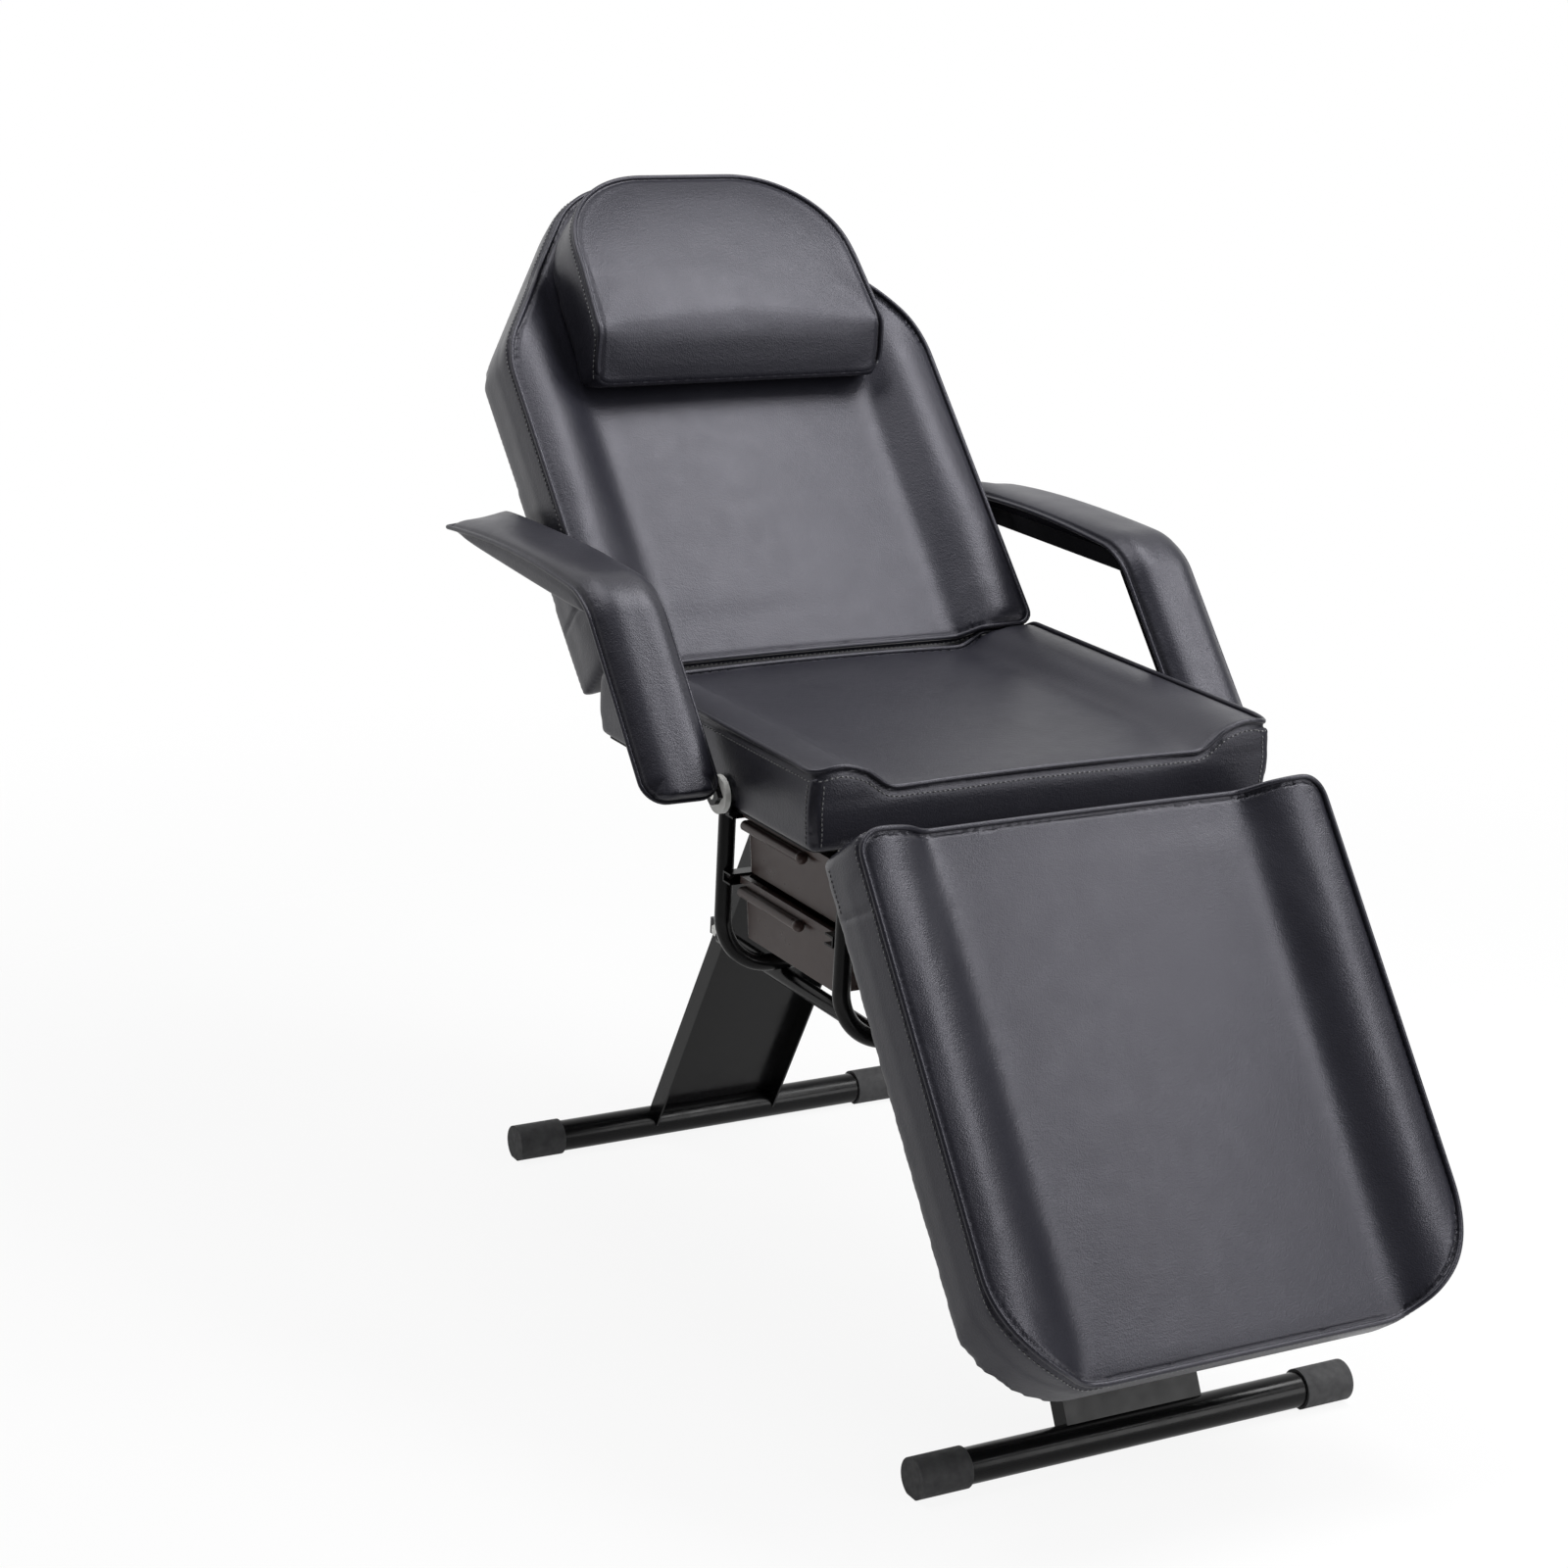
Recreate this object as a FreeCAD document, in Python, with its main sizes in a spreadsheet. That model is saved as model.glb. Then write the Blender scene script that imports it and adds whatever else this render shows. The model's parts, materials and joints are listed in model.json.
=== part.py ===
"""Massage bed: three padded sections on a steel trestle, with swinging arms, two trays and a pillow.

Axes: X across the bed, +Y towards the head, +Z up, floor at Z = 0. Millimetres.
"Left" and "right" are those of a person who sits on the bed, so left is +X.
"""
import FreeCAD, Part
import Sketcher
import math
import os

Vector = FreeCAD.Vector

# Driving sizes: name, value in millimetres or degrees, what it is
SIZES = [
    ("seat_front_y", -280.9, "front edge of the seat, from the middle of the bed"),
    ("seat_length", 486, "seat cushion, front to back"),
    ("seat_width", 580, "cushions of seat and leg rest, side to side"),
    ("seat_top", 694, "height of the seat's top seam"),
    ("seat_depth", 86, "seat cushion and board together"),
    ("board_thickness", 14, "plywood boards under the cushions"),
    ("board_inset", 8, "boards lie this far inside the cushion edge"),
    ("pad_gap", 0.3, "room between a soft piece and a hard one"),
    ("bolster_crest", 5, "side bolsters rise this far above the seam"),
    ("bolster_width", 55, "width of a side bolster"),
    ("bolster_slope", 45, "width of the slope from bolster to dish"),
    ("dish_depth", 24, "the middle of a section lies this far below its seam"),
    ("dish_crown", 3, "rise of the padding in the middle of the dish"),
    ("side_bulge", 3, "padded sides swell this far between their seams"),
    ("edge_round", 4, "small rounding of the cushion ends"),
    ("edge_room", 1, "that rounding starts this far above the bolster crests"),
    ("seat_rear_round", 30, "rounding of the seat's rear top edge"),
    ("seat_corner", 14, "plan radius of the seat's corners"),
    ("back_joint_inset", 16.4, "seam corner of the back rest ahead of the seat's rear end"),
    ("back_joint_rise", -2, "seam corner of the back rest above the seat's top seam"),
    ("back_angle", 46.6, "back rest above the horizontal, as it stands"),
    ("back_inset", 3, "back rest's sides lie this far inside the seat's"),
    ("back_start", 6, "back cushion starts this far up from the seam corner"),
    ("back_length", 672, "back rest, seam corner to top"),
    ("back_shoulder", 431, "height of the shoulders along the back rest"),
    ("back_shoulder_round", 118, "radius of the shoulders"),
    ("back_head_inset", 168, "top corners inside the back rest's sides, before rounding"),
    ("back_head_round", 110, "radius of the top corners"),
    ("back_depth", 80, "back cushion and board together"),
    ("back_foot_round", 25, "rounding of the back rest's lower front edge"),
    ("back_foot_corner", 14, "plan radius of the back rest's lower corners"),
    ("back_hinge_drop", 49, "hinge pin below the seat's top seam"),
    ("back_hinge_gap", 11, "hinge pin behind the seat's rear end"),
    ("leg_joint_y", -82, "seam corner of the leg rest from the seat's front"),
    ("leg_joint_drop", 35, "seam corner of the leg rest below the seat's top seam"),
    ("leg_angle", 52.8, "leg rest below the horizontal, as it hangs"),
    ("leg_length", 579, "leg rest, top seam to lower end"),
    ("leg_top_corner", 26, "plan radius of the upper corners"),
    ("leg_foot_corner", 125, "plan radius of the lower corners"),
    ("leg_depth", 80, "leg cushion and board together"),
    ("leg_hinge_y", -9, "hinge pin from the seat's front edge"),
    ("leg_hinge_drop", 91, "hinge pin below the seat's top seam"),
    ("pillow_low_length", 360, "pillow's lower edge along the back rest"),
    ("pillow_height", 282, "pillow, lower edge to top"),
    ("pillow_inset", 89, "pillow's sides inside the back rest's sides"),
    ("pillow_taper", 16, "pillow draws in this far at each upper corner"),
    ("pillow_round", 130, "radius of the pillow's upper corners"),
    ("pillow_corner", 20, "radius of the pillow's lower corners"),
    ("pillow_lip", 10, "height of the lower seam off the back rest"),
    ("pillow_ridge", 66, "height of the ridge off the back rest"),
    ("pillow_ridge_run", 52, "ridge above the lower edge"),
    ("pillow_brow", 43, "height of the top seam off the back rest"),
    ("pillow_swell", 4, "pillow's face falls this far towards its sides"),
    ("pillow_tuck", 40, "pillow's lower wall leans back this far under its lower seam"),
    ("pillow_rear_rise", 4, "pillow's back curls up this far at its sides"),
    ("foot_length", 468, "steel foot tubes, end to end"),
    ("foot_radius", 19, "foot tubes, outside"),
    ("foot_wall", 2, "wall of the foot tubes"),
    ("foot_height", 20.5, "axis of the foot tubes above the floor"),
    ("foot_spread", 945, "front foot to rear foot, axis to axis"),
    ("base_shift", 237.5, "middle of the base from the seat's front edge"),
    ("cap_radius", 22, "rubber caps, outside"),
    ("cap_length", 60, "rubber caps, overall"),
    ("cap_overlap", 22, "length of foot tube inside a cap"),
    ("column_width", 170, "folded steel legs, side to side"),
    ("column_depth", 25, "folded steel legs, depth of the flanges"),
    ("column_sheet", 2.5, "sheet of the folded legs"),
    ("column_slant", 27.5, "legs lean this far from upright"),
    ("column_set", 9, "rear face of a leg behind the axis of its foot"),
    ("frame_tube", 25, "square tube under the seat"),
    ("frame_wall", 2, "wall of the square tube"),
    ("frame_inset", 110, "axes of frame rails and hoop uprights inside the seat's sides"),
    ("frame_end", 25, "frame rails end this far inside the seat"),
    ("stay_radius", 10, "lower side stays, outside"),
    ("stay_height", 330, "axis of the lower side stays above the floor"),
    ("stay_tab", 4, "flattened ends of the stays"),
    ("stay_tab_length", 42, "length of a flattened end"),
    ("stay_bolt_radius", 4, "bolts of the stays"),
    ("bolt_clearance", 0.3, "room around the stay bolts"),
    ("bolt_head", 6, "thickness of bolt heads and nuts"),
    ("bolt_flats", 6.5, "bolt heads and nuts, centre to flat"),
    ("hoop_radius", 10, "bent hoops, tube radius"),
    ("hoop_bend", 65, "bent hoops, centre line radius"),
    ("hoop_spread", 267, "rear hoop to front hoop, axis to axis"),
    ("tray_end_inset", 4, "ends of the trays inside the axes of the hoop uprights"),
    ("tray_rim_width", 221, "trays over the rims, along Y"),
    ("tray_rim", 5, "width of the rim"),
    ("tray_rim_height", 8.4, "height of the rim"),
    ("tray_height", 72, "trays, bottom to rim"),
    ("tray_draft", 4, "walls draw in this far towards the bottom"),
    ("tray_wall", 2.5, "walls and floor of a tray"),
    ("tray_corner", 8, "plan radius of the rim corners"),
    ("upper_rim_top", 548, "top of the upper tray's rim above the floor"),
    ("lower_rim_top", 470, "top of the lower tray's rim above the floor"),
    ("tray_pull_length", 128, "finger pull along the tray's face"),
    ("tray_pull_reach", 9, "finger pull sticks out this far"),
    ("tray_pull_height", 12, "height of the finger pull"),
    ("tray_pull_drop", 21, "top of the pull below the top of the rim"),
    ("tray_pull_shift", 30, "middle of the pull behind the middle of the tray"),
    ("tray_knob_radius", 7, "knob at the end of the pull"),
    ("runner_wall", 2, "sheet of the tray runners"),
    ("runner_gap", 0.3, "room above and below the rim in its runner"),
    ("runner_side_gap", 1, "room beside the rim in its runner"),
    ("runner_overhang", 8, "tray runners run this far past the axes of the hoop uprights"),
    ("screw_radius", 2, "runner screws"),
    ("screw_length", 8, "runner screws reach this far into a hoop"),
    ("screw_head_radius", 4.2, "heads of the runner screws"),
    ("screw_head", 2.4, "thickness of the screw heads"),
    ("arm_gap", 10, "arms' inner faces from the seat's sides"),
    ("arm_width", 92, "arms, side to side"),
    ("arm_plate", 6, "steel plate in the arm"),
    ("arm_band", 32, "depth of the arm plate below the seam, at its slot"),
    ("arm_skirt", 20, "depth of the arm pad below its seam"),
    ("arm_slant", 32, "outer corner of the arm's rear end ahead of its inner corner"),
    ("arm_front_band", 8, "depth of the rising part of the arm below its seam"),
    ("arm_boss", 11, "radius of the plate round the arm pivot"),
    ("arm_crown", 22, "rise of the arm pad above its seam"),
    ("arm_start_inset", 320.2, "lower end of the arm ahead of the seat's rear end"),
    ("arm_start_z", 625.3, "lower end of the arm's seam above the floor"),
    ("arm_bend_inset", 157, "corner of the arm ahead of the seat's rear end"),
    ("arm_top", 813, "arm seam above the floor"),
    ("arm_bend_radius", 70, "radius of the arm's corner"),
    ("arm_end_reach", 234, "rear end of the arm behind the seat's rear end"),
    ("arm_taper", 118, "length of the arm's tapered rear end"),
    ("arm_keel", 95, "length over which the arm's underside rises to its rear end"),
    ("arm_pivot_inset", 304, "arm pivot ahead of the seat's rear end"),
    ("arm_pivot_z", 624, "arm pivot above the floor"),
    ("arm_bolt_radius", 5, "arm pivot and slide bolts"),
    ("pivot_clearance", 0.05, "room round pins in their eyes"),
    ("slide_along", 209, "slide bolt along the back rest"),
    ("slide_lug", 8, "steel ahead of the slide slot"),
    ("slide_room", 1.2, "room between the slide bolt and its slot"),
    ("slide_travel_up", 8, "slot towards the pivot from the slide bolt"),
    ("slide_travel_down", 32, "slot away from the pivot from the slide bolt"),
    ("washer_radius", 21, "white washers at the arm pivots"),
    ("slide_washer_radius", 11, "white washers at the slide bolts"),
    ("arm_tab", 3, "steel tab that carries an arm pivot"),
    ("arm_tab_width", 36, "width of that tab"),
    ("arm_tab_foot", 45, "length of that tab under the board"),
    ("hinge_inset", 85, "inner end of the hinges inside the seat's sides"),
    ("hinge_width", 40, "width of a hinge"),
    ("hinge_leaf", 4, "thickness of a hinge leaf"),
    ("hinge_leaf_length", 58, "length of a hinge leaf"),
    ("hinge_eye", 8, "radius of the hinge eyes"),
    ("hinge_pin", 4, "radius of the hinge pins"),
    ("hinge_side_gap", 0.4, "room between eyes side by side"),
    ("ratchet_width", 8, "toothed wheel of a hinge"),
    ("ratchet_teeth", 14, "number of its teeth"),
    ("ratchet_tooth", 1.6, "depth of its teeth"),
]

# Shares that shape a curve: where an arc passes, as shares of its length and of its height
SLOPE_BEND = (0.3, 0.22)
PILLOW_BOW = (0.5, 0.25)
ARM_BOW = (0.4, 0.75)
ARM_KEEL = (0.3, 0.72)
ARM_TIP = 0.1
RATCHET_STEP = 0.02

doc = FreeCAD.newDocument("MassageBed")
sheet = doc.addObject("Spreadsheet::Sheet", "Sizes")
for row, (name, number, note) in enumerate(SIZES, start=1):
    sheet.set(f"A{row}", str(number))
    sheet.setAlias(f"A{row}", name)
    sheet.set(f"B{row}", note)
doc.recompute()

sub_parts = []


class Dim:
    """A size: its number, and the sheet formula that gives it."""

    def __init__(self, number, formula=None):
        self.number = float(number)
        self.formula = formula or f"({self.number!r})"

    def __add__(self, other):
        other = dim(other)
        return Dim(self.number + other.number, f"({self.formula} + {other.formula})")

    def __sub__(self, other):
        other = dim(other)
        return Dim(self.number - other.number, f"({self.formula} - {other.formula})")

    def __mul__(self, other):
        other = dim(other)
        return Dim(self.number * other.number, f"({self.formula} * {other.formula})")

    def __truediv__(self, other):
        other = dim(other)
        return Dim(self.number / other.number, f"({self.formula} / {other.formula})")

    def __neg__(self):
        return Dim(-self.number, f"(0 - {self.formula})")

    __radd__ = __add__
    __rmul__ = __mul__

    def __rsub__(self, other):
        return dim(other) - self


def dim(value):
    return value if isinstance(value, Dim) else Dim(value)


def cosine(angle):
    return Dim(math.cos(math.radians(angle.number)), f"cos({angle.formula})")


def sine(angle):
    return Dim(math.sin(math.radians(angle.number)), f"sin({angle.formula})")


def tangent(angle):
    return Dim(math.tan(math.radians(angle.number)), f"tan({angle.formula})")


def size(name):
    return Dim(sheet.get(name), f"Sizes.{name}")


def bind(item, prop, value):
    item.setExpression(prop, dim(value).formula)


class Section:
    """A flat part of the bed with axes of its own: X, along it, and out of its face."""

    def __init__(self, origin_y, origin_z, angle):
        self.origin_y = dim(origin_y)
        self.origin_z = dim(origin_z)
        self.angle = dim(angle)

    def point(self, x, along, out):
        """Where a point of this section lies on the bed."""
        along = dim(along)
        out = dim(out)
        if self.angle.number == 0:
            return dim(x), self.origin_y + along, self.origin_z + out
        level = cosine(self.angle)
        steep = sine(self.angle)
        return (dim(x), self.origin_y + along * level - out * steep,
                self.origin_z + along * steep + out * level)

    def place(self, item, x, along, out, turn=0):
        """Put an item at a point of this section, turned with it."""
        spot = self.point(x, along, out)
        angle = self.angle + turn
        item.Placement = FreeCAD.Placement(Vector(*(c.number for c in spot)),
                                           FreeCAD.Rotation(Vector(1, 0, 0), angle.number))
        for axis, c in zip("xyz", spot):
            bind(item, f"Placement.Base.{axis}", c)
        if self.angle.number != 0:
            bind(item, "Placement.Rotation.Angle", angle)
        return item

    def place_across(self, item, x, along, out):
        """Put an item at a point of this section with its own Z axis along X."""
        spot = self.point(x, along, out)
        item.Placement = FreeCAD.Placement(Vector(*(c.number for c in spot)),
                                           FreeCAD.Rotation(Vector(0, 1, 0), 90))
        for axis, c in zip("xyz", spot):
            bind(item, f"Placement.Base.{axis}", c)
        return item


def keep(item, label):
    """Name an item and list it as one of the bed's pieces."""
    item.Label = label
    sub_parts.append(item)
    return item


def box(section, x, along, out):
    """A block between pairs of coordinates."""
    item = doc.addObject("Part::Box", "Block")
    bind(item, "Length", x[1] - x[0])
    bind(item, "Width", along[1] - along[0])
    bind(item, "Height", out[1] - out[0])
    return section.place(item, x[0], along[0], out[0])


def rod_across(section, x, along, out, radius):
    """A round rod along X."""
    item = doc.addObject("Part::Cylinder", "Rod")
    bind(item, "Radius", radius)
    bind(item, "Height", x[1] - x[0])
    return section.place_across(item, x[0], along, out)


def rod_along(section, x, along, out, radius):
    """A round rod along the section."""
    item = doc.addObject("Part::Cylinder", "Rod")
    bind(item, "Radius", radius)
    bind(item, "Height", along[1] - along[0])
    return section.place(item, x, along[0], out, turn=-90)


def hexagon_across(section, x, along, out, flats):
    """A six-sided head or nut along X, sized by its flats."""
    item = doc.addObject("Part::Prism", "Hexagon")
    item.Polygon = 6
    bind(item, "Circumradius", flats / cosine(dim(30)))
    bind(item, "Height", x[1] - x[0])
    return section.place_across(item, x[0], along, out)


def fuse(items):
    item = doc.addObject("Part::MultiFuse", "Joined")
    item.Shapes = list(items)
    item.Refine = True
    return item


def cut(base, tools):
    """The base less every tool."""
    for tool in tools:
        item = doc.addObject("Part::Cut", "Cut")
        item.Base = base
        item.Tool = tool
        base = item
    return base


def group(items):
    """Equal small pieces as separate solids of one node."""
    item = doc.addObject("Part::Compound", "Group")
    item.Links = list(items)
    return item


def plate(section, x, outline, holes=()):
    """A flat plate: an outline in the section's side view, padded along X."""
    body = doc.addObject("PartDesign::Body", "Plate")
    sketch = body.newObject("Sketcher::SketchObject", "Outline")
    side = [f for f in body.Origin.OriginFeatures if f.Role == "YZ_Plane"][0]
    sketch.AttachmentSupport = (side, [""])
    sketch.MapMode = "FlatFace"
    corners = [(dim(a), dim(b)) for a, b in outline]
    for here, there in zip(corners, corners[1:] + corners[:1]):
        sketch.addGeometry(Part.LineSegment(Vector(here[0].number, here[1].number, 0),
                                            Vector(there[0].number, there[1].number, 0)), False)
    for i in range(len(corners)):
        sketch.addConstraint(Sketcher.Constraint("Coincident", i, 2, (i + 1) % len(corners), 1))
    spots = [(i, 1, corner) for i, corner in enumerate(corners)]
    for along, out, radius in holes:
        ring = sketch.addGeometry(Part.Circle(Vector(dim(along).number, dim(out).number, 0),
                                              Vector(0, 0, 1), dim(radius).number), False)
        rule = sketch.addConstraint(Sketcher.Constraint("Radius", ring, dim(radius).number))
        bind(sketch, f"Constraints[{rule}]", radius)
        spots.append((ring, 3, (dim(along), dim(out))))
    for shape, end, (along, out) in spots:
        for kind, c in (("DistanceX", along), ("DistanceY", out)):
            rule = sketch.addConstraint(Sketcher.Constraint(kind, -1, 1, shape, end, c.number))
            bind(sketch, f"Constraints[{rule}]", c)
    pad = body.newObject("PartDesign::Pad", "Pad")
    pad.Profile = sketch
    bind(pad, "Length", x[1] - x[0])
    return section.place(body, x[0], 0, 0)


def solid(section, shape):
    """A padded form or a bent tube, made in the section's own axes."""
    item = doc.addObject("Part::Feature", "Form")
    item.Shape = shape
    return section.place(item, 0, 0, 0)


def across(side, inner, outer):
    """A span of X on one side of the bed, lower end first."""
    return (inner, outer) if side > 0 else (-outer, -inner)


def run(points):
    """A chain of edges: two points are a line, three an arc."""
    return [Part.LineSegment(*p).toShape() if len(p) == 2 else Part.Arc(*p).toShape() for p in points]


def rounded(corners):
    """A closed wire in the XY plane through corners (x, y, radius)."""
    edges = []
    legs = []
    for i, (x, y, radius) in enumerate(corners):
        here = Vector(x, y, 0)
        before = Vector(*corners[i - 1][:2], 0) - here
        after = Vector(*corners[(i + 1) % len(corners)][:2], 0) - here
        before.normalize()
        after.normalize()
        half = before.getAngle(after) / 2
        middle = (before + after).normalize()
        start = here + before * (radius / math.tan(half))
        end = here + after * (radius / math.tan(half))
        legs.append((start, end))
        if radius:
            near = here + middle * (radius / math.sin(half) - radius)
            edges.append(Part.Arc(start, near, end).toShape())
    for (_, end), (start, _) in zip(legs, legs[1:] + legs[:1]):
        edges.append(Part.LineSegment(end, start).toShape())
    return Part.Wire(Part.__sortEdges__(edges))


def prism(wire, direction):
    return Part.Face(wire).extrude(direction)


def half_pair(corners):
    """Corners on the +X side, going up, completed by their mirror images."""
    return corners + [(-x, y, radius) for x, y, radius in reversed(corners)]


def padded_form(outline, width, length, depth, board, foot_round, head_round):
    """A section's padding: bolsters, dish, swelling sides and rounded ends, with the outline's corners.

    The form lies between two lengths, and from its board up to the bolster crests. The outline lies
    outside the swelling sides and only shapes the corners.
    """
    low = -depth + board
    crest = size("bolster_crest").number
    dish = size("dish_depth").number
    slope = size("bolster_slope").number
    bulge = size("side_bulge").number
    half = width / 2
    top = half - size("bolster_width").number
    foot = top - slope
    crown = size("dish_crown").number
    bend_x, bend_z = SLOPE_BEND

    def at(x, z):
        return Vector(x, length[0], z)

    right = [
        (at(half - bulge, low), at(half, low / 2), at(half - bulge, 0)),
        (at(half - bulge, 0), at((half + top) / 2, crest), at(top, 0)),
        (at(top, 0), at(top - slope * bend_x, -dish * bend_z), at(top - slope / 2, -dish / 2)),
        (at(top - slope / 2, -dish / 2), at(foot + slope * bend_x, dish * bend_z - dish), at(foot, -dish)),
    ]
    left = [tuple(Vector(-p.x, p.y, p.z) for p in reversed(arc)) for arc in reversed(right)]
    middle = [(at(foot, -dish), at(0, crown - dish), at(-foot, -dish))]
    floor = [(at(bulge - half, low), at(half - bulge, low))]
    across_form = prism(Part.Wire(run(right + middle + left + floor)), Vector(0, length[1] - length[0], 0))

    high = crest + size("edge_room").number
    ends = rounded([(length[0], low, 0), (length[1], low, 0), (length[1], high, head_round),
                    (length[0], high, foot_round)])
    ends.Placement = FreeCAD.Placement(Vector(-half, 0, 0), FreeCAD.Rotation(Vector(1, 1, 1), 120))
    along_form = prism(ends, Vector(width, 0, 0))

    plan = prism(rounded(outline), Vector(0, 0, depth + 2 * crest))
    plan.translate(Vector(0, 0, -depth))
    return across_form.common(along_form).common(plan)


def board_form(outline, depth, board):
    """The plywood under a section, in the section's own outline."""
    wire = rounded(outline)
    wire.translate(Vector(0, 0, -depth))
    return prism(wire, Vector(0, 0, board))


# Sections of the bed
seat_front = size("seat_front_y")
seat_rear = seat_front + size("seat_length")
seat_top = size("seat_top")
seat_bottom = seat_top - size("seat_depth")
half_seat = size("seat_width") / 2
half_back = half_seat - size("back_inset")
half_frame = half_seat - size("frame_inset")
half_pillow = half_back - size("pillow_inset")
arm_inner = half_seat + size("arm_gap")
board = size("board_thickness")
inset = size("board_inset")
gap = size("pad_gap")
bulge = size("side_bulge")

floor_level = Section(0, 0, 0)
seat = Section(seat_front, seat_top, 0)
back = Section(seat_rear - size("back_joint_inset"), seat_top + size("back_joint_rise"),
               size("back_angle"))
leg = Section(seat_front + size("leg_joint_y"), seat_top - size("leg_joint_drop"), size("leg_angle"))
base_middle = seat_front + size("base_shift")
stay_hole = size("stay_bolt_radius") + size("bolt_clearance")
rim_tops = {"upper": size("upper_rim_top"), "lower": size("lower_rim_top")}


def seat_outline(shrink, start):
    half = half_seat.number - shrink
    end = size("seat_length").number - shrink
    corner = size("seat_corner").number
    return half_pair([(half, start + shrink, corner), (half, end, corner)])


def back_outline(shrink, start):
    half = half_back.number - shrink
    head = (half_back - size("back_head_inset")).number - shrink
    return half_pair([
        (half, start + shrink, size("back_foot_corner").number),
        (half, size("back_shoulder").number, size("back_shoulder_round").number),
        (head, size("back_length").number - shrink, size("back_head_round").number - shrink),
    ])


def leg_outline(shrink):
    half = half_seat.number - shrink
    return half_pair([
        (half, shrink - size("leg_length").number, size("leg_foot_corner").number - shrink),
        (half, -shrink, size("leg_top_corner").number),
    ])


def foot_assembly(name, way):
    """A foot tube with rubber caps, its folded leg and the cross tube on that; gives the stay bolts' Y."""
    axis = base_middle + way * size("foot_spread") / 2
    height = size("foot_height")
    half = size("foot_length") / 2
    radius = size("foot_radius")
    outer = rod_across(floor_level, (-half, half), axis, height, radius)
    bore = rod_across(floor_level, (-half, half), axis, height, radius - size("foot_wall"))
    keep(cut(outer, [bore]), f"{name}_foot_tube")

    reach = half - size("cap_overlap")
    end = reach + size("cap_length")
    for side_name, side in (("left", 1), ("right", -1)):
        body = rod_across(floor_level, across(side, reach, end), axis, height, size("cap_radius"))
        socket = rod_across(floor_level, across(side, reach, half), axis, height, radius)
        round_cap = size("cap_radius")
        below = box(floor_level, across(side, reach, end), (axis - round_cap, axis + round_cap),
                    (-round_cap, dim(0)))
        keep(cut(body, [socket, below]), f"{name}_foot_cap_{side_name}")

    lean = tangent(size("column_slant")) * -way
    level_depth = size("column_depth") / cosine(size("column_slant"))
    level_sheet = size("column_sheet") / cosine(size("column_slant"))
    face = axis + way * size("column_set")
    top = seat_bottom - size("frame_tube")

    def strip(start, end_depth, low, high):
        near = face - way * start
        far = face - way * end_depth
        return [(near + lean * (low - height), low), (far + lean * (low - height), low),
                (far + lean * (high - height), high), (near + lean * (high - height), high)]

    wide = size("column_width") / 2
    sheet_gap = wide - size("column_sheet")
    blank = plate(floor_level, (-wide, wide), strip(dim(0), level_depth, height, top))
    hollow = plate(floor_level, (-sheet_gap, sheet_gap),
                   strip(level_sheet, 2 * level_depth, dim(0), top + height))
    seat_cut = rod_across(floor_level, (-wide, wide), axis, height, radius)
    bolt = face + lean * (size("stay_height") - height) - way * level_depth / 2
    bolt_hole = rod_across(floor_level, (-wide, wide), bolt, size("stay_height"), stay_hole)
    keep(cut(blank, [hollow, seat_cut, bolt_hole]), f"{name}_leg")

    weld = face + lean * (top - height) - way * level_depth / 2
    tube = size("frame_tube")
    wall = size("frame_wall")
    inner_end = half_frame - tube / 2
    block = box(floor_level, (-inner_end, inner_end), (weld - tube / 2, weld + tube / 2), (top, top + tube))
    bore = box(floor_level, (-inner_end, inner_end), (weld - tube / 2 + wall, weld + tube / 2 - wall),
               (top + wall, top + tube - wall))
    keep(cut(block, [bore]), f"{name}_cross_tube")
    return bolt


def outward(way, near, far):
    """A span of Y on one side of the base's middle, lower end first."""
    return (base_middle + near, base_middle + far) if way > 0 else (base_middle - far, base_middle - near)


def screw_shank(way, side, rim_top):
    """The shank of a runner screw, and the hole for it."""
    hoop_face = size("hoop_spread") / 2 - size("hoop_radius")
    span = outward(way, hoop_face - size("runner_wall"), hoop_face + size("screw_length"))
    return rod_along(floor_level, side * half_frame, span, rim_top - size("tray_rim_height") / 2,
                     size("screw_radius"))


def hoop(name, way):
    """A bent tube across the bed that carries the tray runners."""
    plane = (base_middle + way * size("hoop_spread") / 2).number
    reach = half_frame.number
    bend = size("hoop_bend").number
    low = size("stay_height").number + size("stay_radius").number + size("hoop_radius").number
    high = (seat_bottom - size("frame_tube")).number
    turn = bend * (1 - math.cos(math.radians(45)))

    def at(x, z):
        return Vector(x, plane, z)

    path = Part.Wire(run([
        (at(-reach, high), at(-reach, low + bend)),
        (at(-reach, low + bend), at(turn - reach, low + turn), at(bend - reach, low)),
        (at(bend - reach, low), at(reach - bend, low)),
        (at(reach - bend, low), at(reach - turn, low + turn), at(reach, low + bend)),
        (at(reach, low + bend), at(reach, high)),
    ]))
    ring = Part.Wire(Part.Circle(at(-reach, high), Vector(0, 0, 1), size("hoop_radius").number).toShape())
    tube = solid(floor_level, path.makePipeShell([ring], True, False))
    holes = [screw_shank(way, side, rim_top) for rim_top in rim_tops.values() for side in (1, -1)]
    keep(cut(tube, holes), f"{name}_hoop")


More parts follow.
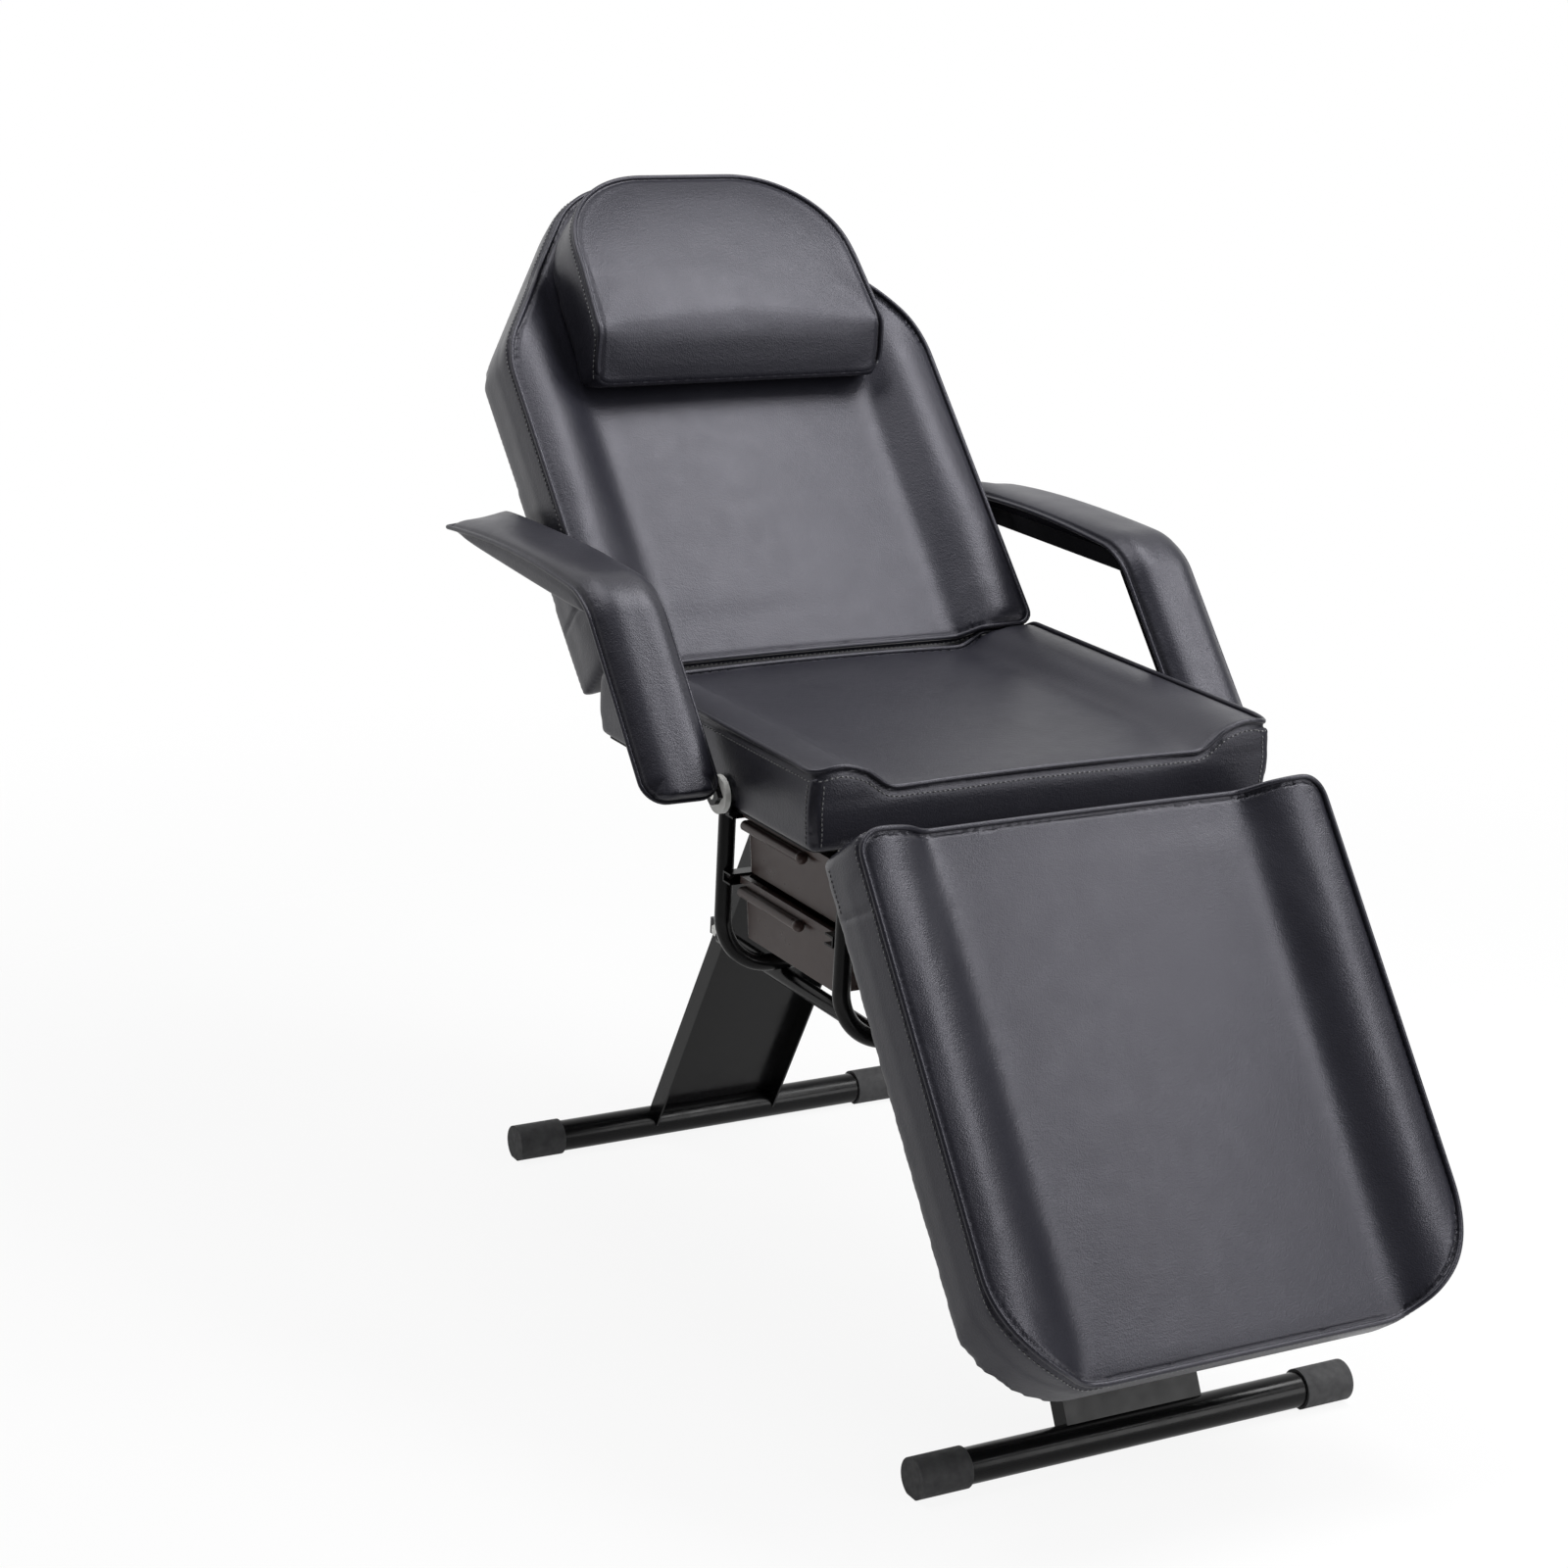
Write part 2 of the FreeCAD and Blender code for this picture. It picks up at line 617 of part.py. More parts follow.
def seat_frame(rear_bolt, front_bolt):
    """Frame rails under the seat and the lower side stays with their bolts."""
    tube = size("frame_tube")
    wall = size("frame_wall")
    reach = half_frame
    span = (seat_front + size("frame_end"), seat_rear - size("frame_end"))
    level = (seat_bottom - tube, seat_bottom)
    flange = size("column_width") / 2
    radius = size("stay_radius")
    tab = size("stay_tab")
    height = size("stay_height")
    heads = []
    nuts = []
    for side_name, side in (("left", 1), ("right", -1)):
        near = reach - tube / 2
        far = reach + tube / 2
        block = box(floor_level, across(side, near, far), span, level)
        bore = box(floor_level, across(side, near + wall, far - wall), span,
                   (level[0] + wall, level[1] - wall))
        keep(cut(block, [bore]), f"{side_name}_frame_rail")

        middle = side * (flange + radius)
        tube_ends = (front_bolt + size("stay_tab_length") / 2, rear_bolt - size("stay_tab_length") / 2)
        pieces = [rod_along(floor_level, middle, tube_ends, height, radius)]
        holes = []
        for bolt, way in ((front_bolt, -1), (rear_bolt, 1)):
            start = tube_ends[0] if way < 0 else tube_ends[1]
            ends = sorted((start - way * radius, start + way * size("stay_tab_length")),
                          key=lambda c: c.number)
            pieces.append(box(floor_level, across(side, flange, flange + tab), tuple(ends),
                              (height - radius, height + radius)))
            holes.append(rod_across(floor_level, across(side, flange, flange + tab), bolt, height, stay_hole))
            inner = flange - size("column_sheet")
            nut_span = across(side, inner - size("bolt_head"), inner)
            shank = rod_across(floor_level, across(side, inner - size("bolt_head"), flange + tab), bolt,
                               height, size("stay_bolt_radius"))
            head = hexagon_across(floor_level, across(side, flange + tab, flange + tab + size("bolt_head")),
                                  bolt, height, size("bolt_flats"))
            heads.append(fuse([shank, head]))
            ring = hexagon_across(floor_level, nut_span, bolt, height, size("bolt_flats"))
            thread = rod_across(floor_level, nut_span, bolt, height, size("stay_bolt_radius"))
            nuts.append(cut(ring, [thread]))
        keep(cut(fuse(pieces), holes), f"{side_name}_side_stay")
    keep(group(heads), "stay_bolts")
    keep(group(nuts), "stay_nuts")


def seat_pieces():
    """Seat board, seat cushion and the tabs that carry the arm pivots."""
    depth = size("seat_depth").number
    thick = board.number
    keep(solid(seat, board_form(seat_outline(inset.number, 0), depth, thick)), "seat_board")
    form = padded_form(seat_outline(-bulge.number, 0), size("seat_width").number,
                       (0, size("seat_length").number), depth, thick + gap.number,
                       size("edge_round").number, size("seat_rear_round").number)
    keep(solid(seat, form), "seat_cushion")

    pivot_y = seat_rear - size("arm_pivot_inset")
    pivot_z = size("arm_pivot_z")
    tab = size("arm_tab")
    half = size("arm_tab_width") / 2
    bolts = []
    washers = []
    for side_name, side in (("left", 1), ("right", -1)):
        outer = half_seat + gap + tab
        upright = box(floor_level, across(side, half_seat + gap, outer), (pivot_y - half, pivot_y + half),
                      (seat_bottom - tab, pivot_z))
        eye = rod_across(floor_level, across(side, half_seat + gap, outer), pivot_y, pivot_z, half)
        foot = box(floor_level, across(side, outer - size("arm_tab_foot"), outer),
                   (pivot_y - half, pivot_y + half), (seat_bottom - tab, seat_bottom))
        keep(fuse([upright, eye, foot]), f"{side_name}_arm_tab")
        bolts.append(rod_across(floor_level, across(side, outer, arm_inner + size("arm_plate") - gap),
                                pivot_y, pivot_z, size("arm_bolt_radius")))
        span = across(side, outer, arm_inner - gap)
        disc = rod_across(floor_level, span, pivot_y, pivot_z, size("washer_radius"))
        bore = rod_across(floor_level, span, pivot_y, pivot_z, size("arm_bolt_radius"))
        washers.append(cut(disc, [bore]))
    keep(group(bolts), "arm_pivot_bolts")
    keep(group(washers), "arm_pivot_washers")


def back_pieces():
    """Back board, back cushion, and the bolts that slide in the arms."""
    depth = size("back_depth").number
    thick = board.number
    start = size("back_start").number
    keep(solid(back, board_form(back_outline(inset.number, start), depth, thick)), "back_board")
    form = padded_form(back_outline(-bulge.number, start), 2 * half_back.number,
                       (start, size("back_length").number), depth, thick + gap.number,
                       size("back_foot_round").number, size("edge_round").number)
    keep(solid(back, form), "back_cushion")

    out = board / 2 - size("back_depth")
    along = size("slide_along")
    edge = half_back - inset
    bolts = []
    washers = []
    for side in (1, -1):
        end = arm_inner + size("arm_plate") - gap
        bolts.append(rod_across(back, across(side, edge, end), along, out, size("arm_bolt_radius")))
        span = across(side, half_back + gap, arm_inner - gap)
        disc = rod_across(back, span, along, out, size("slide_washer_radius"))
        washers.append(cut(disc, [rod_across(back, span, along, out, size("arm_bolt_radius"))]))
    keep(group(bolts), "arm_slide_bolts")
    keep(group(washers), "arm_slide_washers")


def leg_pieces():
    """Leg board and leg cushion."""
    depth = size("leg_depth").number
    thick = board.number
    keep(solid(leg, board_form(leg_outline(inset.number), depth, thick)), "leg_board")
    form = padded_form(leg_outline(-bulge.number), size("seat_width").number,
                       (-size("leg_length").number, 0), depth, thick + gap.number,
                       size("edge_round").number, size("edge_round").number)
    keep(solid(leg, form), "leg_cushion")


def head_pillow():
    """A D-shaped pillow with a ridge, a lower face under it and a crowned front."""
    start = size("pillow_low_length").number
    end = start + size("pillow_height").number
    half = half_pillow.number
    rear = (size("dish_crown") - size("dish_depth") + gap).number
    rear_edge = rear + size("pillow_rear_rise").number
    under = 2 * rear
    lip = size("pillow_lip").number
    ridge = size("pillow_ridge").number
    brow = size("pillow_brow").number
    crease = start + size("pillow_ridge_run").number
    outline = half_pair([(half, start, size("pillow_corner").number),
                         (half - size("pillow_taper").number, end, size("pillow_round").number)])
    plan = prism(rounded(outline), Vector(0, 0, 2 * ridge - under))
    plan.translate(Vector(0, 0, under))

    def side_view(along, out):
        return Vector(-half, along, out)

    bow = side_view(crease + (end - crease) * PILLOW_BOW[0], ridge - (ridge - brow) * PILLOW_BOW[1])
    profile = Part.Wire(run([
        (side_view(start + size("pillow_tuck").number, under), side_view(start, lip)),
        (side_view(start, lip), side_view(crease, ridge)),
        (side_view(crease, ridge), bow, side_view(end, brow)),
        (side_view(end, brow), side_view(end, under)),
        (side_view(end, under), side_view(start + size("pillow_tuck").number, under)),
    ]))
    edge = ridge - size("pillow_swell").number

    def front_view(x, out):
        return Vector(x, start, out)

    crown = Part.Wire(run([
        (front_view(-half, rear_edge), front_view(0, rear), front_view(half, rear_edge)),
        (front_view(half, rear_edge), front_view(half, edge)),
        (front_view(half, edge), front_view(0, ridge), front_view(-half, edge)),
        (front_view(-half, edge), front_view(-half, rear_edge)),
    ]))
    form = prism(profile, Vector(2 * half, 0, 0)).common(prism(crown, Vector(0, end - start, 0))).common(plan)
    keep(solid(back, form), "head_pillow")


def arm(side_name, side):
    """A boomerang arm: a slotted steel plate that swings on the seat, under a crowned pad."""
    inner = arm_inner.number
    outer = inner + size("arm_width").number
    metal = inner + size("arm_plate").number
    band = size("arm_band").number
    skirt = size("arm_skirt").number
    room = gap.number
    start = Vector(0, (seat_rear - size("arm_start_inset")).number, size("arm_start_z").number)
    corner = Vector(0, (seat_rear - size("arm_bend_inset")).number, size("arm_top").number)
    end = Vector(0, (seat_rear + size("arm_end_reach")).number, size("arm_top").number)
    rise = (corner - start).normalize()
    level = (end - corner).normalize()
    out = Vector(0, -rise.z, rise.y)
    turn = rise.getAngle(level)
    bend = size("arm_bend_radius").number
    leave = corner - rise * (bend * math.tan(turn / 2))
    join = corner + level * (bend * math.tan(turn / 2))
    inward = (level - rise).normalize()
    apex = corner + inward * (bend / math.cos(turn / 2) - bend)
    path = Part.Wire(run([(start, leave), (leave, apex, join), (join, end)]))

    def at(x, height):
        return start + Vector(side * x, 0, 0) + out * height

    bar = Part.makePolygon([at(inner, -band), at(metal, -band), at(metal, -2 * room), at(inner, -2 * room),
                            at(inner, -band)])
    strip = path.makePipeShell([bar], True, False)
    crown = size("arm_crown").number
    cover = Part.Wire(run([
        (at(metal + room, -skirt), at(outer, -skirt)),
        (at(outer, -skirt), at(outer, 0)),
        (at(outer, 0), at((inner + outer) / 2, crown), at(inner, 0)),
        (at(inner, 0), at(inner, -room)),
        (at(inner, -room), at(metal + room, -room)),
        (at(metal + room, -room), at(metal + room, -skirt)),
    ]))
    pad = path.makePipeShell([cover], True, False)

    pivot = Vector(0, (seat_rear - size("arm_pivot_inset")).number, size("arm_pivot_z").number)
    spot = back.point(0, size("slide_along"), board / 2 - size("back_depth"))
    slide = Vector(0, spot[1].number, spot[2].number)
    reach = (slide - pivot).normalize()
    first = slide - reach * size("slide_travel_up").number
    last = slide + reach * size("slide_travel_down").number
    width = size("arm_bolt_radius").number + size("slide_room").number
    beside = reach.cross(Vector(1, 0, 0)) * width
    slot = Part.Wire(run([
        (first + beside, last + beside),
        (last + beside, last + reach * width, last - beside),
        (last - beside, first - beside),
        (first - beside, first - reach * width, first + beside),
    ]))
    near = min(side * inner, side * metal)
    slot.translate(Vector(near, 0, 0))
    slot_cut = prism(slot, Vector(metal - inner, 0, 0))
    eye = size("arm_bolt_radius").number + size("pivot_clearance").number
    eye_cut = Part.makeCylinder(eye, metal - inner, pivot + Vector(near, 0, 0), Vector(1, 0, 0))
    keel = size("arm_keel").number
    foot = end - Vector(0, keel, band)
    belly = end - Vector(0, ARM_KEEL[0] * keel, ARM_KEEL[1] * band)
    tip = end - Vector(0, 0, ARM_TIP * band)
    below = Vector(0, 0, -band)
    wedge = Part.Wire(run([
        (foot, belly, tip),
        (tip, tip + below),
        (tip + below, foot + below),
        (foot + below, foot),
    ]))
    first_side = Vector(min(side * inner, side * outer), 0, 0)
    wedge.translate(first_side)
    across_arm = Vector(outer - inner, 0, 0)
    underside = prism(wedge, across_arm)
    shallow = out * size("arm_front_band").number
    nose = start - rise * band - shallow
    bottom = size("arm_top").number - skirt
    throat = nose + rise * ((bottom - nose.z) / rise.z)
    heel = first.y - width - size("slide_lug").number
    hollow = Part.makePolygon([nose, throat, Vector(0, heel, bottom), Vector(0, heel, nose.z), nose])
    hollow.translate(first_side)
    underside = underside.fuse(prism(hollow, across_arm))
    boss = Part.makeCylinder(size("arm_boss").number, metal - inner, pivot + Vector(near, 0, 0),
                             Vector(1, 0, 0))
    plate_form = strip.cut(slot_cut).cut(underside).fuse(boss).cut(eye_cut).removeSplitter()
    keep(solid(floor_level, plate_form), f"{side_name}_arm_plate")

    taper = size("arm_taper").number
    low = end + Vector(0, 0, ARM_TIP * crown)
    high = end + Vector(0, -taper, crown)
    bow = end + Vector(0, -taper * ARM_BOW[0], ARM_BOW[1] * crown)
    above = Vector(0, 0, crown)
    shave = Part.Wire(run([
        (high, bow, low),
        (low, low + above),
        (low + above, high + above),
        (high + above, high),
    ]))
    shave.translate(first_side)
    far = Vector(side * outer, end.y, bottom - band)
    slant = Part.makePolygon([far, far - Vector(0, size("arm_slant").number, 0),
                              Vector(side * metal, end.y, far.z), far])
    corner_cut = prism(slant, Vector(0, 0, 2 * band + skirt + crown))
    pad_form = pad.cut(prism(shave, across_arm)).cut(underside).cut(corner_cut)
    keep(solid(floor_level, pad_form), f"{side_name}_arm_pad")


def hinge(name, seat_side, moving, moving_leaf):
    """A pair of ratchet hinges: seat leaf, moving leaf, pin and toothed wheel on each side.

    seat_side holds the pin's place and the seat leaf's outlines, moving_leaf the swinging leaf's.
    """
    pin_y, pin_z, seat_outlines = seat_side
    eye = size("hinge_eye")
    pin = size("hinge_pin")
    play = size("pivot_clearance")
    between = size("hinge_side_gap")
    inner = half_seat - size("hinge_inset")
    outer = inner + size("hinge_width")
    wheel_start = inner + (size("hinge_width") - size("ratchet_width")) / 2
    wheel_end = wheel_start + size("ratchet_width")
    pins = []
    wheels = []
    for side_name, side in (("left", 1), ("right", -1)):
        fixed_span = across(side, inner, wheel_start)
        swing_span = across(side, wheel_end + between, outer)
        parts = [rod_across(floor_level, fixed_span, pin_y, pin_z, eye)]
        for wide, outline in seat_outlines:
            parts.append(plate(floor_level, across(side, inner, outer) if wide else fixed_span, outline))
        bore = rod_across(floor_level, fixed_span, pin_y, pin_z, pin + play)
        keep(cut(fuse(parts), [bore]), f"{name}_hinge_seat_leaf_{side_name}")

        parts = [rod_across(floor_level, swing_span, pin_y, pin_z, eye)]
        for wide, outline in moving_leaf:
            parts.append(plate(moving, across(side, inner, outer) if wide else swing_span, outline))
        bore = rod_across(floor_level, swing_span, pin_y, pin_z, pin + play)
        keep(cut(fuse(parts), [bore]), f"{name}_hinge_swing_leaf_{side_name}")

        pins.append(rod_across(floor_level, across(side, inner, outer), pin_y, pin_z, pin))
        teeth = round(size("ratchet_teeth").number)
        tip = eye.number
        root = tip - size("ratchet_tooth").number
        ring = []
        for k in range(teeth):
            start = 2 * math.pi * k / teeth
            for radius, step in ((tip, 0), (root, RATCHET_STEP)):
                angle = start + step
                ring.append(Vector(0, radius * math.cos(angle), radius * math.sin(angle)))
        wheel = prism(Part.makePolygon(ring + ring[:1]), Vector(size("ratchet_width").number, 0, 0))
        hole = Part.makeCylinder((pin + play).number, size("ratchet_width").number, Vector(), Vector(1, 0, 0))
        item = doc.addObject("Part::Feature", "Wheel")
        item.Shape = wheel.cut(hole)
        floor_level.place(item, across(side, wheel_start, wheel_end)[0], pin_y, pin_z)
        wheels.append(item)
    keep(group(pins), f"{name}_hinge_pins")
    keep(group(wheels), f"{name}_ratchet_wheels")


def block_outline(along, out):
    return [(along[0], out[0]), (along[1], out[0]), (along[1], out[1]), (along[0], out[1])]


def hinges():
    """The hinges of back rest and leg rest, with leaves that fit their boards."""
    leaf = size("hinge_leaf")
    long = size("hinge_leaf_length")
    eye = size("hinge_eye")
    pin_y = seat_rear + size("back_hinge_gap")
    pin_z = seat_top - size("back_hinge_drop")
    upright = (pin_y - eye, pin_y - eye + leaf)
    seat_leaf = [
        (True, block_outline((upright[1] - long, upright[1]), (seat_bottom - leaf, seat_bottom))),
        (True, block_outline(upright, (seat_bottom - leaf, pin_z - eye - leaf))),
        (False, block_outline(upright, (seat_bottom - leaf, pin_z))),
    ]
    level = cosine(size("back_angle"))
    steep = sine(size("back_angle"))
    dy = pin_y - back.origin_y
    dz = pin_z - back.origin_z
    along = dy * level + dz * steep
    out = dz * level - dy * steep
    rear = -size("back_depth")
    swing = [
        (True, block_outline((along, along + long + eye), (rear - leaf, rear))),
        (True, block_outline((along, along + leaf), (rear - leaf, out - eye - leaf))),
        (False, block_outline((along, along + leaf), (rear - leaf, out))),
    ]
    hinge("back", (pin_y, pin_z, seat_leaf), back, swing)

    pin_y = seat_front + size("leg_hinge_y")
    pin_z = seat_top - size("leg_hinge_drop")
    edge = seat_front + inset
    seat_leaf = [
        (True, block_outline((edge, edge + long), (seat_bottom - leaf, seat_bottom))),
        (False, block_outline((pin_y, edge + leaf), (seat_bottom - leaf, pin_z + leaf))),
    ]
    level = cosine(size("leg_angle"))
    steep = sine(size("leg_angle"))
    dy = pin_y - leg.origin_y
    dz = pin_z - leg.origin_z
    along = dy * level + dz * steep
    out = dz * level - dy * steep
    rear = -size("leg_depth")
    swing = [
        (True, block_outline((-inset - long, -inset), (rear - leaf, rear))),
        (False, block_outline((-inset - leaf, along), (out, rear - leaf))),
        (False, block_outline((-inset - 2 * leaf, -inset), (out, rear))),
    ]
    hinge("leg", (pin_y, pin_z, seat_leaf), leg, swing)


def tray(name):
    """A drafted tray with a rim, its finger pull, and the runners that carry the rim."""
    rim_top = rim_tops[name]
    half_long = half_frame - size("tray_end_inset")
    half_wide = size("tray_rim_width") / 2
    rim = size("tray_rim")
    rim_low = rim_top - size("tray_rim_height")
    bottom = rim_top - size("tray_height")
    wall = size("tray_wall").number
    corner = size("tray_corner").number

    def ring(shrink, z):
        long = half_long.number - shrink
        wide = half_wide.number - shrink
        middle = base_middle.number
        wire = rounded([(-long, middle - wide, corner), (long, middle - wide, corner),
                        (long, middle + wide, corner), (-long, middle + wide, corner)])
        wire.translate(Vector(0, 0, z.number))
        return wire

    band = rim.number
    draft = band + size("tray_draft").number
    rim_form = prism(ring(0, rim_low), Vector(0, 0, size("tray_rim_height").number))
    shell = Part.makeLoft([ring(draft, bottom), ring(band, rim_low)], True, True)
    inside = Part.makeLoft([ring(draft + wall, bottom + wall), ring(band + wall, rim_low)], True, True)
    mouth = prism(ring(band + wall, rim_low), Vector(0, 0, size("tray_rim_height").number))
    form = shell.fuse(rim_form).cut(inside).cut(mouth).removeSplitter()
    keep(solid(floor_level, form), f"{name}_tray")

    pull_middle = base_middle + size("tray_pull_shift")
    half_pull = size("tray_pull_length") / 2
    high = rim_top - size("tray_pull_drop") + size("tray_pull_height")
    face = -half_long
    span = (pull_middle - half_pull, pull_middle + half_pull)
    radius = size("tray_pull_height") / 2
    lip = rod_along(floor_level, face - size("tray_pull_reach") + radius, span, high - radius, radius)
    shelf = box(floor_level, (face - size("tray_pull_reach") + radius, face + rim), span,
                (high - radius, high))
    knob = doc.addObject("Part::Sphere", "Knob")
    bind(knob, "Radius", size("tray_knob_radius"))
    floor_level.place(knob, face - size("tray_pull_reach") + radius, span[0], high - radius)
    keep(fuse([lip, shelf, knob]), f"{name}_tray_pull")

    sheet_wall = size("runner_wall")
    room = size("runner_gap")
    half_runner = half_frame + size("runner_overhang")
    hoop_face = size("hoop_spread") / 2 - size("hoop_radius")
    low = rim_low - room - sheet_wall
    top = rim_top + room + sheet_wall
    lip_edge = half_wide - rim + size("runner_side_gap")
    screws = []
    for end_name, way in (("rear", 1), ("front", -1)):
        block = box(floor_level, (-half_runner, half_runner), outward(way, lip_edge, hoop_face), (low, top))
        groove = box(floor_level, (-half_runner, half_runner), outward(way, lip_edge, hoop_face - sheet_wall),
                     (rim_low - room, rim_top + room))
        holes = [screw_shank(way, side, rim_top) for side in (1, -1)]
        keep(cut(block, [groove] + holes), f"{name}_runner_{end_name}")
        for side in (1, -1):
            span = outward(way, hoop_face - sheet_wall - size("screw_head"), hoop_face - sheet_wall)
            head = rod_along(floor_level, side * half_frame, span, (low + top) / 2,
                             size("screw_head_radius"))
            screws.append(fuse([head, screw_shank(way, side, rim_top)]))
    return screws


rear_bolt = foot_assembly("rear", 1)
front_bolt = foot_assembly("front", -1)
hoop("rear", 1)
hoop("front", -1)
seat_frame(rear_bolt, front_bolt)
seat_pieces()
back_pieces()
leg_pieces()
head_pillow()
arm("left", 1)
arm("right", -1)
hinges()
keep(group(tray("upper") + tray("lower")), "runner_screws")

doc.recompute()
for item in doc.Objects:
    if "Invalid" in item.State or "Error" in item.State:
        raise RuntimeError(f"{item.Label} failed")
for item in sub_parts:
    if item.Shape.isNull() or not item.Shape.isValid():
        raise RuntimeError(f"{item.Label} is not a valid solid")

os.makedirs("parts", exist_ok=True)
for item in sub_parts:
    item.Shape.exportStep(f"parts/{item.Label}.step")
print(len(sub_parts), "pieces written")
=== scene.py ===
"""Looks of the massage bed: sewn vinyl cushions, powder-coated trestle, trays and small fittings.

Everything is in metres in the shared frame: X across the bed, +Y towards the head, Z up from the floor.
"""

import json
import logging
import math
from collections.abc import Callable, Sequence
from dataclasses import dataclass
from enum import Enum

import bpy
import numpy as np
from mathutils import Matrix, Vector
from mathutils.bvhtree import BVHTree
from mathutils.kdtree import KDTree


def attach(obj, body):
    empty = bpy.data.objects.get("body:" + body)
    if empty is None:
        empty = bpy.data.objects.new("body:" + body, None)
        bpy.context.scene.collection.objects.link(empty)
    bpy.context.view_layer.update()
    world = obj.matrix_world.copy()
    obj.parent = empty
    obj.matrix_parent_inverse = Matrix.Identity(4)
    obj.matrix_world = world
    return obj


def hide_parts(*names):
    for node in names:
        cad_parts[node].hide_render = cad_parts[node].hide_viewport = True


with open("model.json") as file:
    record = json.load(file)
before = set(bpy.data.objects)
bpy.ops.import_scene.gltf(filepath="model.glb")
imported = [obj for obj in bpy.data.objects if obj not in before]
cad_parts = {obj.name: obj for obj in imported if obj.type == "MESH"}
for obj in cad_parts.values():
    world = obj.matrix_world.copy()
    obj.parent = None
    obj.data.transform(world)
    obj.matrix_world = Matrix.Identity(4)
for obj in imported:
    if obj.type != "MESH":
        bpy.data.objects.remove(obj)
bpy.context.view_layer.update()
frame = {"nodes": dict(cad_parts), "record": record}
log = logging.getLogger("massage_bed")

Socket = bpy.types.NodeSocket
Pair = tuple[float, float]
Triple = tuple[float, float, float]
Gloss = tuple[float, float, float, float]
Extras = tuple[tuple[str, object], ...]
Colour = Triple
Corner = Triple


class Side(Enum):
    """A side of the bed, as the person on it has it."""

    LEFT = 1
    RIGHT = -1

    @property
    def word(self) -> str:
        """The side's name in the names of nodes."""
        return self.name.lower()


class Body(Enum):
    """The moving bodies of the bed."""

    BASE = "base"
    BACK = "back_rest"
    LEG = "leg_rest"
    PILLOW = "pillow"


def set_range(node: bpy.types.Node, *limits: float) -> None:
    """Set what a Map Range node maps onto what: lowest and highest in, then lowest and highest out."""
    for name, value in zip(("From Min", "From Max", "To Min", "To Max"), limits):
        node.inputs[name].default_value = value


